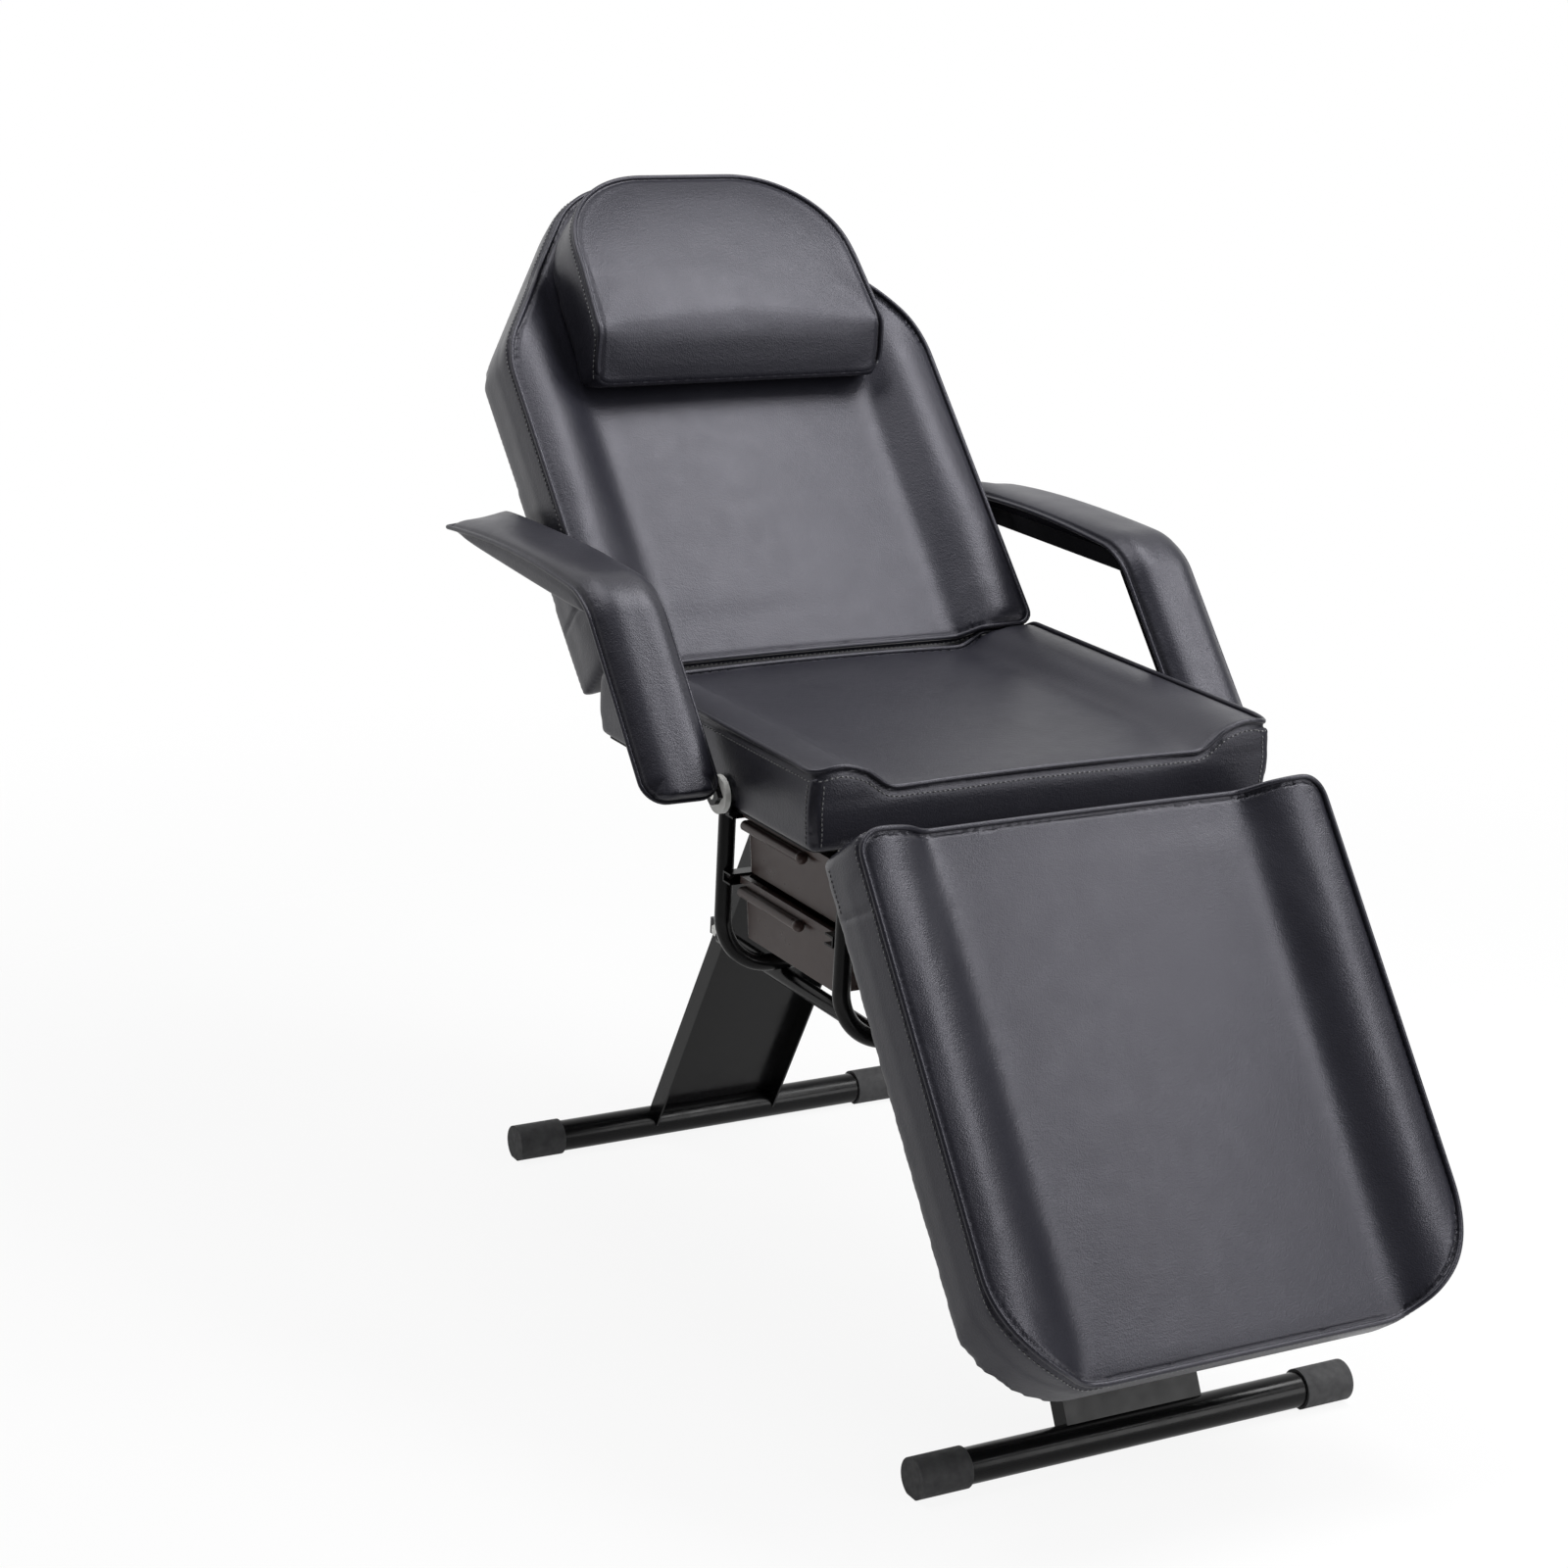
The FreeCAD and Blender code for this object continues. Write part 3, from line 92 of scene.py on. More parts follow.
class Shader:
    """A material under construction, with short ways to add nodes to it."""

    middle: Pair = (0.3, 0.7)

    def __init__(self, name: str, colour: Colour, roughness: float, metallic: float = 0.0) -> None:
        """Start a material with plain values on its shader.

        Args:
            name: the material's name.
            colour: base colour, linear.
            roughness: roughness of the surface.
            metallic: 1 for bare metal.
        """
        self.material = bpy.data.materials.new(name)
        self.material.use_nodes = True
        self.tree = self.material.node_tree
        self.surface = self.tree.nodes["Principled BSDF"]
        self.set("Base Color", (*colour, 1.0))
        self.set("Roughness", roughness)
        self.set("Metallic", metallic)
        self.place = self.tree.nodes.new("ShaderNodeTexCoord").outputs["Object"]

    def set(self, name: str, value: object) -> None:
        """Set a socket of the shader to one value."""
        self.surface.inputs[name].default_value = value

    def link(self, source: Socket, name: str) -> None:
        """Lead a pattern into a socket of the shader."""
        self.tree.links.new(source, self.surface.inputs[name])

    def noise(self, scale: float, detail: float = 3.0, stretch: Triple = (1, 1, 1)) -> Socket:
        """Cloudy pattern.

        Args:
            scale: features per metre.
            detail: octaves.
            stretch: scale of the three axes.

        Returns:
            The pattern's value.
        """
        node = self.tree.nodes.new("ShaderNodeTexNoise")
        node.inputs["Scale"].default_value = scale
        node.inputs["Detail"].default_value = detail
        self.tree.links.new(self.mapped(stretch), node.inputs["Vector"])
        return node.outputs["Fac"]

    def cells(self, scale: float, stretch: Triple = (1, 1, 1)) -> Socket:
        """Pebbled pattern of small cells.

        Args:
            scale: cells per metre.
            stretch: scale of the three axes.

        Returns:
            The distance to the nearest cell centre.
        """
        node = self.tree.nodes.new("ShaderNodeTexVoronoi")
        node.feature = "SMOOTH_F1"
        node.inputs["Scale"].default_value = scale
        node.inputs["Smoothness"].default_value = 0.35
        self.tree.links.new(self.mapped(stretch), node.inputs["Vector"])
        return node.outputs["Distance"]

    def mapped(self, stretch: Triple) -> Socket:
        """Object coordinates, scaled axis by axis."""
        node = self.tree.nodes.new("ShaderNodeMapping")
        node.inputs["Scale"].default_value = stretch
        self.tree.links.new(self.place, node.inputs["Vector"])
        return node.outputs["Vector"]

    def spread(self, source: Socket, low: float, high: float) -> Socket:
        """Map a pattern's middle range onto two values.

        Args:
            source: the pattern.
            low: value where the pattern is dark.
            high: value where it is bright.

        Returns:
            The mapped value.
        """
        node = self.tree.nodes.new("ShaderNodeMapRange")
        set_range(node, *self.middle, low, high)
        self.tree.links.new(source, node.inputs["Value"])
        return node.outputs["Result"]

    def tint(self, source: Socket, dark: Colour, light: Colour) -> None:
        """Vary the base colour between two tints.

        Args:
            source: the pattern.
            dark: colour where the pattern is dark.
            light: colour where it is bright.
        """
        node = self.tree.nodes.new("ShaderNodeValToRGB")
        for stop, position, colour in zip(node.color_ramp.elements, self.middle, (dark, light)):
            stop.position = position
            stop.color = (*colour, 1.0)
        self.tree.links.new(source, node.inputs["Fac"])
        self.link(node.outputs["Color"], "Base Color")

    def bump(self, height: Socket, distance: float, under: Socket | None = None) -> Socket:
        """Relief from a pattern.

        Args:
            height: the pattern.
            distance: depth of the relief in metres.
            under: relief that this one lies on.

        Returns:
            The normal, which also goes to the shader.
        """
        node = self.tree.nodes.new("ShaderNodeBump")
        node.inputs["Strength"].default_value = 1.0
        node.inputs["Distance"].default_value = distance
        self.tree.links.new(height, node.inputs["Height"])
        if under is not None:
            self.tree.links.new(under, node.inputs["Normal"])
        self.link(node.outputs["Normal"], "Normal")
        return node.outputs["Normal"]


@dataclass(frozen=True)
class Finish:
    """What all finishes share: a cloudy colour, an uneven gloss and a fine relief.

    clouds holds the scale and detail of the colour's pattern, gloss those of the roughness and its range,
    relief those of the surface and its depth, and extras any other values of the shader.
    """

    name: str
    dark: Colour
    light: Colour
    clouds: Pair
    gloss: Gloss
    relief: Triple = (900.0, 2.0, 0.0001)
    stretch: Triple = (1.0, 1.0, 1.0)
    specular: float = 0.5
    metallic: float = 0.0
    extras: Extras = ()

    def make(self) -> bpy.types.Material:
        """Build the material."""
        scale, detail, low, high = self.gloss
        shader = Shader(self.name, self.light, (low + high) / 2, self.metallic)
        for socket, value in (("Specular IOR Level", self.specular), *self.extras):
            shader.set(socket, value)
        if self.dark != self.light:
            shader.tint(shader.noise(*self.clouds), self.dark, self.light)
        shader.link(shader.spread(shader.noise(scale, detail), low, high), "Roughness")
        self.add_relief(shader)
        return shader.material

    def add_relief(self, shader: Shader) -> None:
        """Roughen the surface."""
        scale, detail, depth = self.relief
        shader.bump(shader.noise(scale, detail, self.stretch), depth)


@dataclass(frozen=True)
class VinylFinish(Finish):
    """Satin black vinyl leather with a fine pebbled grain."""

    name: str = "black_vinyl"
    dark: Colour = (0.011, 0.011, 0.016)
    light: Colour = (0.016, 0.016, 0.022)
    clouds: Pair = (9.0, 4.0)
    gloss: Gloss = (38.0, 4.0, 0.35, 0.40)
    relief: Triple = (120.0, 3.0, 0.00022)
    stretch: Triple = (1.0, 2.2, 2.2)
    specular: float = 0.42
    extras: Extras = (("Specular Tint", (0.91, 0.895, 1.0, 1.0)),)
    grain: float = 620.0
    grain_depth: float = 0.00016

    def add_relief(self, shader: Shader) -> None:
        """Add fine creases, and the grain on them."""
        scale, detail, depth = self.relief
        creases = shader.bump(shader.noise(scale, detail, self.stretch), depth)
        shader.bump(shader.cells(self.grain), self.grain_depth, creases)


@dataclass(frozen=True)
class PowderCoatFinish(Finish):
    """Gloss black powder coat with a slight orange peel."""

    name: str = "black_powder_coat"
    dark: Colour = (0.006, 0.006, 0.0065)
    light: Colour = (0.006, 0.006, 0.0065)
    clouds: Pair = (1.0, 1.0)
    gloss: Gloss = (45.0, 3.0, 0.15, 0.27)
    relief: Triple = (420.0, 2.0, 0.00004)
    specular: float = 0.17


@dataclass(frozen=True)
class TrayPlasticFinish(Finish):
    """Smooth warm black plastic of the trays."""

    name: str = "tray_plastic"
    dark: Colour = (0.062, 0.038, 0.034)
    light: Colour = (0.076, 0.050, 0.044)
    clouds: Pair = (14.0, 3.0)
    gloss: Gloss = (60.0, 3.0, 0.27, 0.36)
    relief: Triple = (700.0, 2.0, 0.00006)
    specular: float = 0.32


@dataclass(frozen=True)
class RubberFinish(Finish):
    """Matte dark grey rubber of the foot caps."""

    name: str = "cap_rubber"
    dark: Colour = (0.028, 0.028, 0.030)
    light: Colour = (0.045, 0.045, 0.047)
    clouds: Pair = (80.0, 3.0)
    gloss: Gloss = (150.0, 3.0, 0.62, 0.8)
    relief: Triple = (900.0, 3.0, 0.0002)


@dataclass(frozen=True)
class ZincFinish(Finish):
    """Zinc-plated steel with faint brushing and stains."""

    name: str = "zinc_plating"
    dark: Colour = (0.46, 0.46, 0.45)
    light: Colour = (0.66, 0.66, 0.64)
    clouds: Pair = (160.0, 4.0)
    gloss: Gloss = (240.0, 3.0, 0.24, 0.42)
    relief: Triple = (900.0, 2.0, 0.00008)
    stretch: Triple = (0.1, 1.0, 1.0)
    metallic: float = 1.0


@dataclass(frozen=True)
class NylonFinish(Finish):
    """White nylon of the washers."""

    name: str = "white_nylon"
    dark: Colour = (0.74, 0.74, 0.71)
    light: Colour = (0.84, 0.84, 0.82)
    clouds: Pair = (90.0, 3.0)
    gloss: Gloss = (200.0, 3.0, 0.4, 0.52)
    relief: Triple = (800.0, 2.0, 0.00006)
    extras: Extras = (("Subsurface Weight", 0.1), ("Subsurface Radius", (0.002, 0.002, 0.002)))


@dataclass(frozen=True)
class LinedPlywoodFinish(Finish):
    """Plywood under a stapled black lining cloth."""

    name: str = "lined_plywood"
    dark: Colour = (0.012, 0.012, 0.013)
    light: Colour = (0.024, 0.023, 0.024)
    clouds: Pair = (220.0, 4.0)
    gloss: Gloss = (300.0, 3.0, 0.78, 0.92)
    relief: Triple = (900.0, 1.0, 0.0003)

    def add_relief(self, shader: Shader) -> None:
        """Add the weave."""
        scale, detail, depth = self.relief
        warp = shader.bump(shader.noise(scale, detail, (1.0, 0.08, 0.08)), depth)
        shader.bump(shader.noise(scale, detail, (0.08, 1.0, 1.0)), depth, warp)


@dataclass(frozen=True)
class ThreadFinish(Finish):
    """Charcoal sewing thread, a little lighter than the vinyl."""

    name: str = "grey_thread"
    dark: Colour = (0.11, 0.11, 0.115)
    light: Colour = (0.20, 0.20, 0.205)
    clouds: Pair = (500.0, 3.0)
    gloss: Gloss = (900.0, 3.0, 0.5, 0.7)
    relief: Triple = (2500.0, 1.0, 0.0001)
    extras: Extras = (("Sheen Weight", 0.3),)


@dataclass(frozen=True)
class Palette:
    """The finishes of the bed, ready to use."""

    vinyl: bpy.types.Material
    coat: bpy.types.Material
    plastic: bpy.types.Material
    rubber: bpy.types.Material
    zinc: bpy.types.Material
    nylon: bpy.types.Material
    plywood: bpy.types.Material
    thread: bpy.types.Material


@dataclass(frozen=True)
class Plane:
    """A section of the bed with axes of its own: X, along it, and out of its face."""

    origin_y: float
    origin_z: float
    degrees: float

    @property
    def along(self) -> Vector:
        """Direction along the section."""
        angle = math.radians(self.degrees)
        return Vector((0.0, math.cos(angle), math.sin(angle)))

    @property
    def out(self) -> Vector:
        """Direction out of the section's face."""
        angle = math.radians(self.degrees)
        return Vector((0.0, -math.sin(angle), math.cos(angle)))

    def point(self, x: float, along: float, out: float) -> Vector:
        """Where a point of the section lies in the shared frame."""
        return Vector((x, self.origin_y, self.origin_z)) + self.along * along + self.out * out

    def local(self, coords: np.ndarray) -> np.ndarray:
        """Points of the shared frame in the section's own axes.

        Args:
            coords: points, one row each.

        Returns:
            Rows of x, along and out.
        """
        moved = coords - np.array((0.0, self.origin_y, self.origin_z))
        axes = np.array(((1.0, 0.0, 0.0), tuple(self.along), tuple(self.out)))
        return moved @ axes.T


SEAT = Plane(-0.2809, 0.694, 0.0)
BACK = Plane(0.1887, 0.692, 46.6)
STEEP_BACK = Plane(0.1863, 0.6905, 49.6)
LEG = Plane(-0.3629, 0.659, 52.8)


def row(vector: Vector) -> np.ndarray:
    """A vector as an array."""
    return np.array(tuple(vector))


def rows(points: Sequence[Vector]) -> np.ndarray:
    """Points as an array, one row each."""
    return np.array([tuple(point) for point in points])


def alone(piece: bpy.types.Object) -> None:
    """Make a piece the only selected and active object."""
    bpy.ops.object.select_all(action="DESELECT")
    piece.select_set(True)
    bpy.context.view_layer.objects.active = piece


def coords_of(piece: bpy.types.Object) -> np.ndarray:
    """The piece's points, one row each."""
    flat = np.empty(len(piece.data.vertices) * 3)
    piece.data.vertices.foreach_get("co", flat)
    return flat.reshape(-1, 3)


def set_coords(piece: bpy.types.Object, coords: np.ndarray) -> None:
    """Move the piece's points."""
    piece.data.vertices.foreach_set("co", coords.ravel())
    piece.data.update()


def normals_of(piece: bpy.types.Object) -> np.ndarray:
    """The normals at the piece's points, one row each."""
    flat = np.empty(len(piece.data.vertices) * 3)
    piece.data.vertices.foreach_get("normal", flat)
    return flat.reshape(-1, 3)


def apply_all(piece: bpy.types.Object) -> None:
    """Apply the piece's modifiers in order."""
    alone(piece)
    for modifier in list(piece.modifiers):
        bpy.ops.object.modifier_apply(modifier=modifier.name)


def surface_of(piece: bpy.types.Object) -> BVHTree:
    """A search tree over the piece's faces."""
    vertices = [vertex.co.copy() for vertex in piece.data.vertices]
    return BVHTree.FromPolygons(vertices, [tuple(face.vertices) for face in piece.data.polygons])


def settle(piece: bpy.types.Object, body: str, material: bpy.types.Material) -> None:
    """Give a piece its finish and the body that it moves with.

    Args:
        piece: the finished piece.
        body: name of the body.
        material: the finish.
    """
    piece.data.materials.clear()
    piece.data.materials.append(material)
    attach(piece, body)
    log.info("%s: %d faces on %s", piece.name, len(piece.data.polygons), body)


def rounded_loop(corners: Sequence[Corner], step: float) -> list[Pair]:
    """Points along a closed outline with rounded corners.

    Args:
        corners: plan corners with their radii, in order.
        step: distance between points.

    Returns:
        Plan points in order.
    """
    runs = []
    for i, (x, y, radius) in enumerate(corners):
        here = Vector((x, y))
        before = (Vector(corners[i - 1][:2]) - here).normalized()
        after = (Vector(corners[(i + 1) % len(corners)][:2]) - here).normalized()
        half = before.angle(after) / 2
        reach = radius / math.tan(half)
        centre = here + (before + after).normalized() * (radius / math.sin(half))
        start = here + before * reach - centre
        turn = math.pi - 2 * half
        sense = 1.0 if before.x * after.y - before.y * after.x < 0 else -1.0
        count = max(2, round(radius * turn / step))
        arc = []
        for k in range(count + 1):
            angle = sense * turn * k / count
            arc.append(centre + Vector((start.x * math.cos(angle) - start.y * math.sin(angle),
                                        start.x * math.sin(angle) + start.y * math.cos(angle))))
        runs.append(arc)
    points = []
    for arc, following in zip(runs, runs[1:] + runs[:1]):
        points += arc
        gap = following[0] - arc[-1]
        count = int(gap.length / step)
        points += [arc[-1] + gap * (k / (count + 1)) for k in range(1, count + 1)]
    return [(point.x, point.y) for point in points]


def mirrored(half: Sequence[Corner]) -> list[Corner]:
    """Corners on the +X side, going up, completed by their mirror images."""
    return list(half) + [(-x, y, radius) for x, y, radius in reversed(half)]


def tube(name: str, path: Sequence[Vector], radius: float, closed: bool) -> bpy.types.Object:
    """A round tube along points, as a mesh.

    Args:
        name: name of the piece.
        path: points of its centre line.
        radius: radius of the tube.
        closed: whether the path is a loop.

    Returns:
        The piece.
    """
    curve = bpy.data.curves.new(name, "CURVE")
    curve.dimensions = "3D"
    curve.bevel_depth = radius
    curve.bevel_resolution = 3
    curve.use_fill_caps = not closed
    spline = curve.splines.new("POLY")
    spline.points.add(len(path) - 1)
    for spot, point in zip(spline.points, path):
        spot.co = (*point, 1.0)
    spline.use_cyclic_u = closed
    piece = bpy.data.objects.new(name, curve)
    bpy.context.collection.objects.link(piece)
    alone(piece)
    bpy.ops.object.convert(target="MESH")
    piece = bpy.context.object
    bpy.ops.object.shade_smooth()
    return piece


def eased(path: Sequence[Vector], rounds: int, closed: bool) -> list[Vector]:
    """Points of a path after averaging each with its neighbours a few times."""
    points = rows(path)
    for _ in range(rounds):
        means = (np.roll(points, 1, 0) + 2 * points + np.roll(points, -1, 0)) / 4
        if not closed:
            means[0], means[-1] = points[0], points[-1]
        points = means
    return [Vector(point) for point in points]


def stitches(name: str, path: Sequence[Vector], normals: Sequence[Vector], pitch: float) -> bpy.types.Object:
    """A row of thread stitches along a line on a surface.

    Args:
        name: name of the piece.
        path: points of the line.
        normals: the surface's normals there.
        pitch: distance from stitch to stitch.

    Returns:
        The row as one piece.
    """
    bpy.ops.object.select_all(action="DESELECT")
    bpy.ops.mesh.primitive_cylinder_add(vertices=6, radius=0.0007, depth=pitch * 0.45,
                                        rotation=(0, math.pi / 2, 0))
    pattern = bpy.context.object
    bpy.ops.object.transform_apply(location=True, rotation=True, scale=True)
    bpy.ops.object.mode_set(mode="EDIT")
    bpy.ops.mesh.select_all(action="DESELECT")
    bpy.ops.object.mode_set(mode="OBJECT")
    for face in pattern.data.polygons:
        face.select = len(face.vertices) == 6
    bpy.ops.object.mode_set(mode="EDIT")
    bpy.ops.mesh.extrude_region_move(TRANSFORM_OT_translate={"value": (0, 0, 0)})
    bpy.ops.transform.resize(value=(1.55, 0.5, 0.5))
    bpy.ops.object.mode_set(mode="OBJECT")
    shape = coords_of(pattern)
    faces = [tuple(face.vertices) for face in pattern.data.polygons]
    bpy.data.objects.remove(pattern)

    points, polygons = [], []
    run = 0.0
    following = pitch / 2
    for here, there, normal in zip(path, path[1:], normals):
        length = (there - here).length
        while following <= run + length:
            spot = here.lerp(there, (following - run) / length)
            forward = (there - here).normalized()
            sideways = normal.cross(forward).normalized()
            turn = np.array((tuple(forward), tuple(sideways), tuple(forward.cross(sideways))))
            offset = len(points)
            points += [tuple(corner) for corner in shape @ turn + row(spot)]
            polygons += [tuple(index + offset for index in face) for face in faces]
            following += pitch
        run += length
    mesh = bpy.data.meshes.new(name)
    mesh.from_pydata(points, [], polygons)
    piece = bpy.data.objects.new(name, mesh)
    bpy.context.collection.objects.link(piece)
    alone(piece)
    bpy.ops.object.mode_set(mode="EDIT")
    bpy.ops.mesh.select_all(action="SELECT")
    bpy.ops.mesh.normals_make_consistent(inside=False)
    bpy.ops.object.mode_set(mode="OBJECT")
    bpy.ops.object.shade_smooth()
    return piece


def nearest_on(coords: np.ndarray, line: Sequence[Vector]) -> tuple[np.ndarray, np.ndarray]:
    """Nearest place on a line for every point.

    Args:
        coords: points, one row each.
        line: the line, as points close together.

    Returns:
        The distances, and the places on the line, one row each.
    """
    tree = KDTree(len(line))
    for index, point in enumerate(line):
        tree.insert(point, index)
    tree.balance()
    found = [tree.find(point) for point in coords.tolist()]
    return np.array([hit[2] for hit in found]), np.array([tuple(hit[0]) for hit in found])


@dataclass
class Padding:
    """Foam under a sewn cover, grown from the solid that holds its place."""

    node: str
    body: str
    palette: Palette
    voxel: float = 0.006
    pressure: float = 4.0
    cap: float = 0.0025
    shrink: float = 0.001
    smooth_rounds: int = 2
    piping: float = 0.0029
    frames: int = 20
    seam_hold: float = 0.009

    def grow(self, held: Callable[[np.ndarray], np.ndarray], seam: Sequence[Vector]) -> bpy.types.Object:
        """Swell the padding by cloth simulation.

        Args:
            held: tells which points rest on something or are stretched tight, and stay.
            seam: the seam that holds the cover's edge, as points.

        Returns:
            The padding, before its seams.
        """
        piece = bpy.data.objects.new(f"{self.node}_cover", frame["nodes"][self.node].data.copy())
        bpy.context.collection.objects.link(piece)
        alone(piece)
        bpy.ops.object.mode_set(mode="EDIT")
        bpy.ops.mesh.select_all(action="SELECT")
        bpy.ops.mesh.remove_doubles(threshold=0.00001)
        bpy.ops.mesh.normals_make_consistent(inside=False)
        bpy.ops.object.mode_set(mode="OBJECT")
        self.wrap(piece)
        remesh = piece.modifiers.new("Even", "REMESH")
        remesh.mode = "VOXEL"
        remesh.voxel_size = self.voxel
        smooth = piece.modifiers.new("Ease", "SMOOTH")
        smooth.iterations = self.smooth_rounds
        apply_all(piece)
        coords = coords_of(piece)
        fixed = held(coords) | (nearest_on(coords, seam)[0] < self.seam_hold)
        inward = normals_of(piece) * self.shrink
        coords[~fixed] -= inward[~fixed]
        set_coords(piece, coords)
        self.inflate(piece, fixed)
        return piece

    def wrap(self, piece: bpy.types.Object) -> None:
        """Draw the cover round what it is stapled to."""

    def inflate(self, piece: bpy.types.Object, fixed: np.ndarray) -> None:
        """Press the cover outwards from inside, and cap how far it moves.

        Args:
            piece: the padding.
            fixed: which points stay.
        """
        start = coords_of(piece)
        group = piece.vertex_groups.new(name="held")
        group.add([int(i) for i in np.flatnonzero(fixed)], 1.0, "REPLACE")
        cloth = piece.modifiers.new("Swell", "CLOTH")
        cloth.settings.quality = 4
        cloth.settings.use_pressure = True
        cloth.settings.uniform_pressure_force = self.pressure
        cloth.settings.vertex_group_mass = "held"
        cloth.settings.effector_weights.gravity = 0.0
        cloth.collision_settings.use_collision = False
        cloth.point_cache.frame_start = 1
        cloth.point_cache.frame_end = self.frames
        scene = bpy.context.scene
        for step in range(1, self.frames + 1):
            scene.frame_set(step)
        shown = piece.evaluated_get(bpy.context.evaluated_depsgraph_get())
        moved = np.empty(len(start) * 3)
        shown.data.vertices.foreach_get("co", moved)
        way = moved.reshape(-1, 3) - start
        length = np.linalg.norm(way, axis=1, keepdims=True)
        way *= np.minimum(1.0, self.cap / np.maximum(length, 1e-9))
        piece.modifiers.remove(cloth)
        piece.vertex_groups.remove(group)
        scene.frame_set(1)
        set_coords(piece, start + way)
        ease = piece.modifiers.new("Ease", "SMOOTH")
        ease.iterations = self.smooth_rounds
        apply_all(piece)

    def gather(self, piece: bpy.types.Object, line: Sequence[Vector], reach: float = 0.008) -> None:
        """Draw the cover to a seam, so that its panels meet there in an edge.

        Args:
            piece: the padding.
            line: the seam, as points.
            reach: how far from the seam the cover still follows.
        """
        coords = coords_of(piece)
        gaps, places = nearest_on(coords, line)
        pull = np.exp(-((gaps / reach) ** 2))
        set_coords(piece, coords + (places - coords) * pull[:, None])

    def crease(self, piece: bpy.types.Object, line: Sequence[Vector], depth: float, width: float,
               aside: float = 0.0, above: Vector | None = None) -> None:
        """Draw the cover in along a line.

        Args:
            piece: the padding.
            line: the line, as points.
            depth: how far the crease draws in.
            width: half width of the crease.
            aside: distance of the crease from the line, on both its sides.
            above: the direction on whose side the cover stays as it is.
        """
        coords = coords_of(piece)
        gaps, places = nearest_on(coords, line)
        fall = np.exp(-(((gaps - aside) / width) ** 2))
        if above is not None:
            fall *= (coords - places) @ row(above) < -0.001
        set_coords(piece, coords - normals_of(piece) * (depth * fall)[:, None])

    def relax(self, piece: bpy.types.Object, weights: np.ndarray, rounds: int) -> None:
        """Ease the cover over its foam, more where the weights are higher.

        Args:
            piece: the padding.
            weights: weight of every point, from 0 to 1.
            rounds: how often the points are averaged.
        """
        group = piece.vertex_groups.new(name="loose")
        levels = np.round(weights * 10).astype(int)
        for level in range(1, 11):
            group.add([int(i) for i in np.flatnonzero(levels == level)], level / 10, "REPLACE")
        ease = piece.modifiers.new("Relax", "SMOOTH")
        ease.iterations = rounds
        ease.vertex_group = "loose"
        apply_all(piece)
        piece.vertex_groups.remove(piece.vertex_groups["loose"])

    def finish(self, piece: bpy.types.Object, fill: float) -> None:
        """Args:
            piece: the padding with its seams.
            fill: how full it is, from 0 to 1; not used.
        """
        finer = piece.modifiers.new("Finer", "SUBSURF")
        finer.levels = finer.render_levels = 1
        apply_all(piece)
        bpy.ops.object.shade_smooth()
        settle(piece, self.body, self.palette.vinyl)
        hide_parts(self.node)

    def pipe(self, name: str, line: Sequence[Vector], closed: bool = True) -> None:
        """Sew piping along a seam.

        Args:
            name: name of the piping.
            line: the seam, as points.
            closed: whether the piping goes all round.
        """
        settle(tube(name, line, self.piping, closed), self.body, self.palette.vinyl)

    def sew(self, name: str, piece: bpy.types.Object, guide: Sequence[Vector], pitch: float = 0.0062) -> None:
        """Sew a row of stitches on the cover, along the places nearest to a guide line.

        Args:
            name: name of the row.
            piece: the finished cover.
            guide: points near the cover.
            pitch: distance from stitch to stitch.
        """
        tree = surface_of(piece)
        found = [tree.find_nearest(point)[:2] for point in guide]
        path = eased([spot + normal * 0.0003 for spot, normal in found], 2, False)
        thread = stitches(name, path, [normal for _, normal in found], pitch)
        settle(thread, self.body, self.palette.thread)


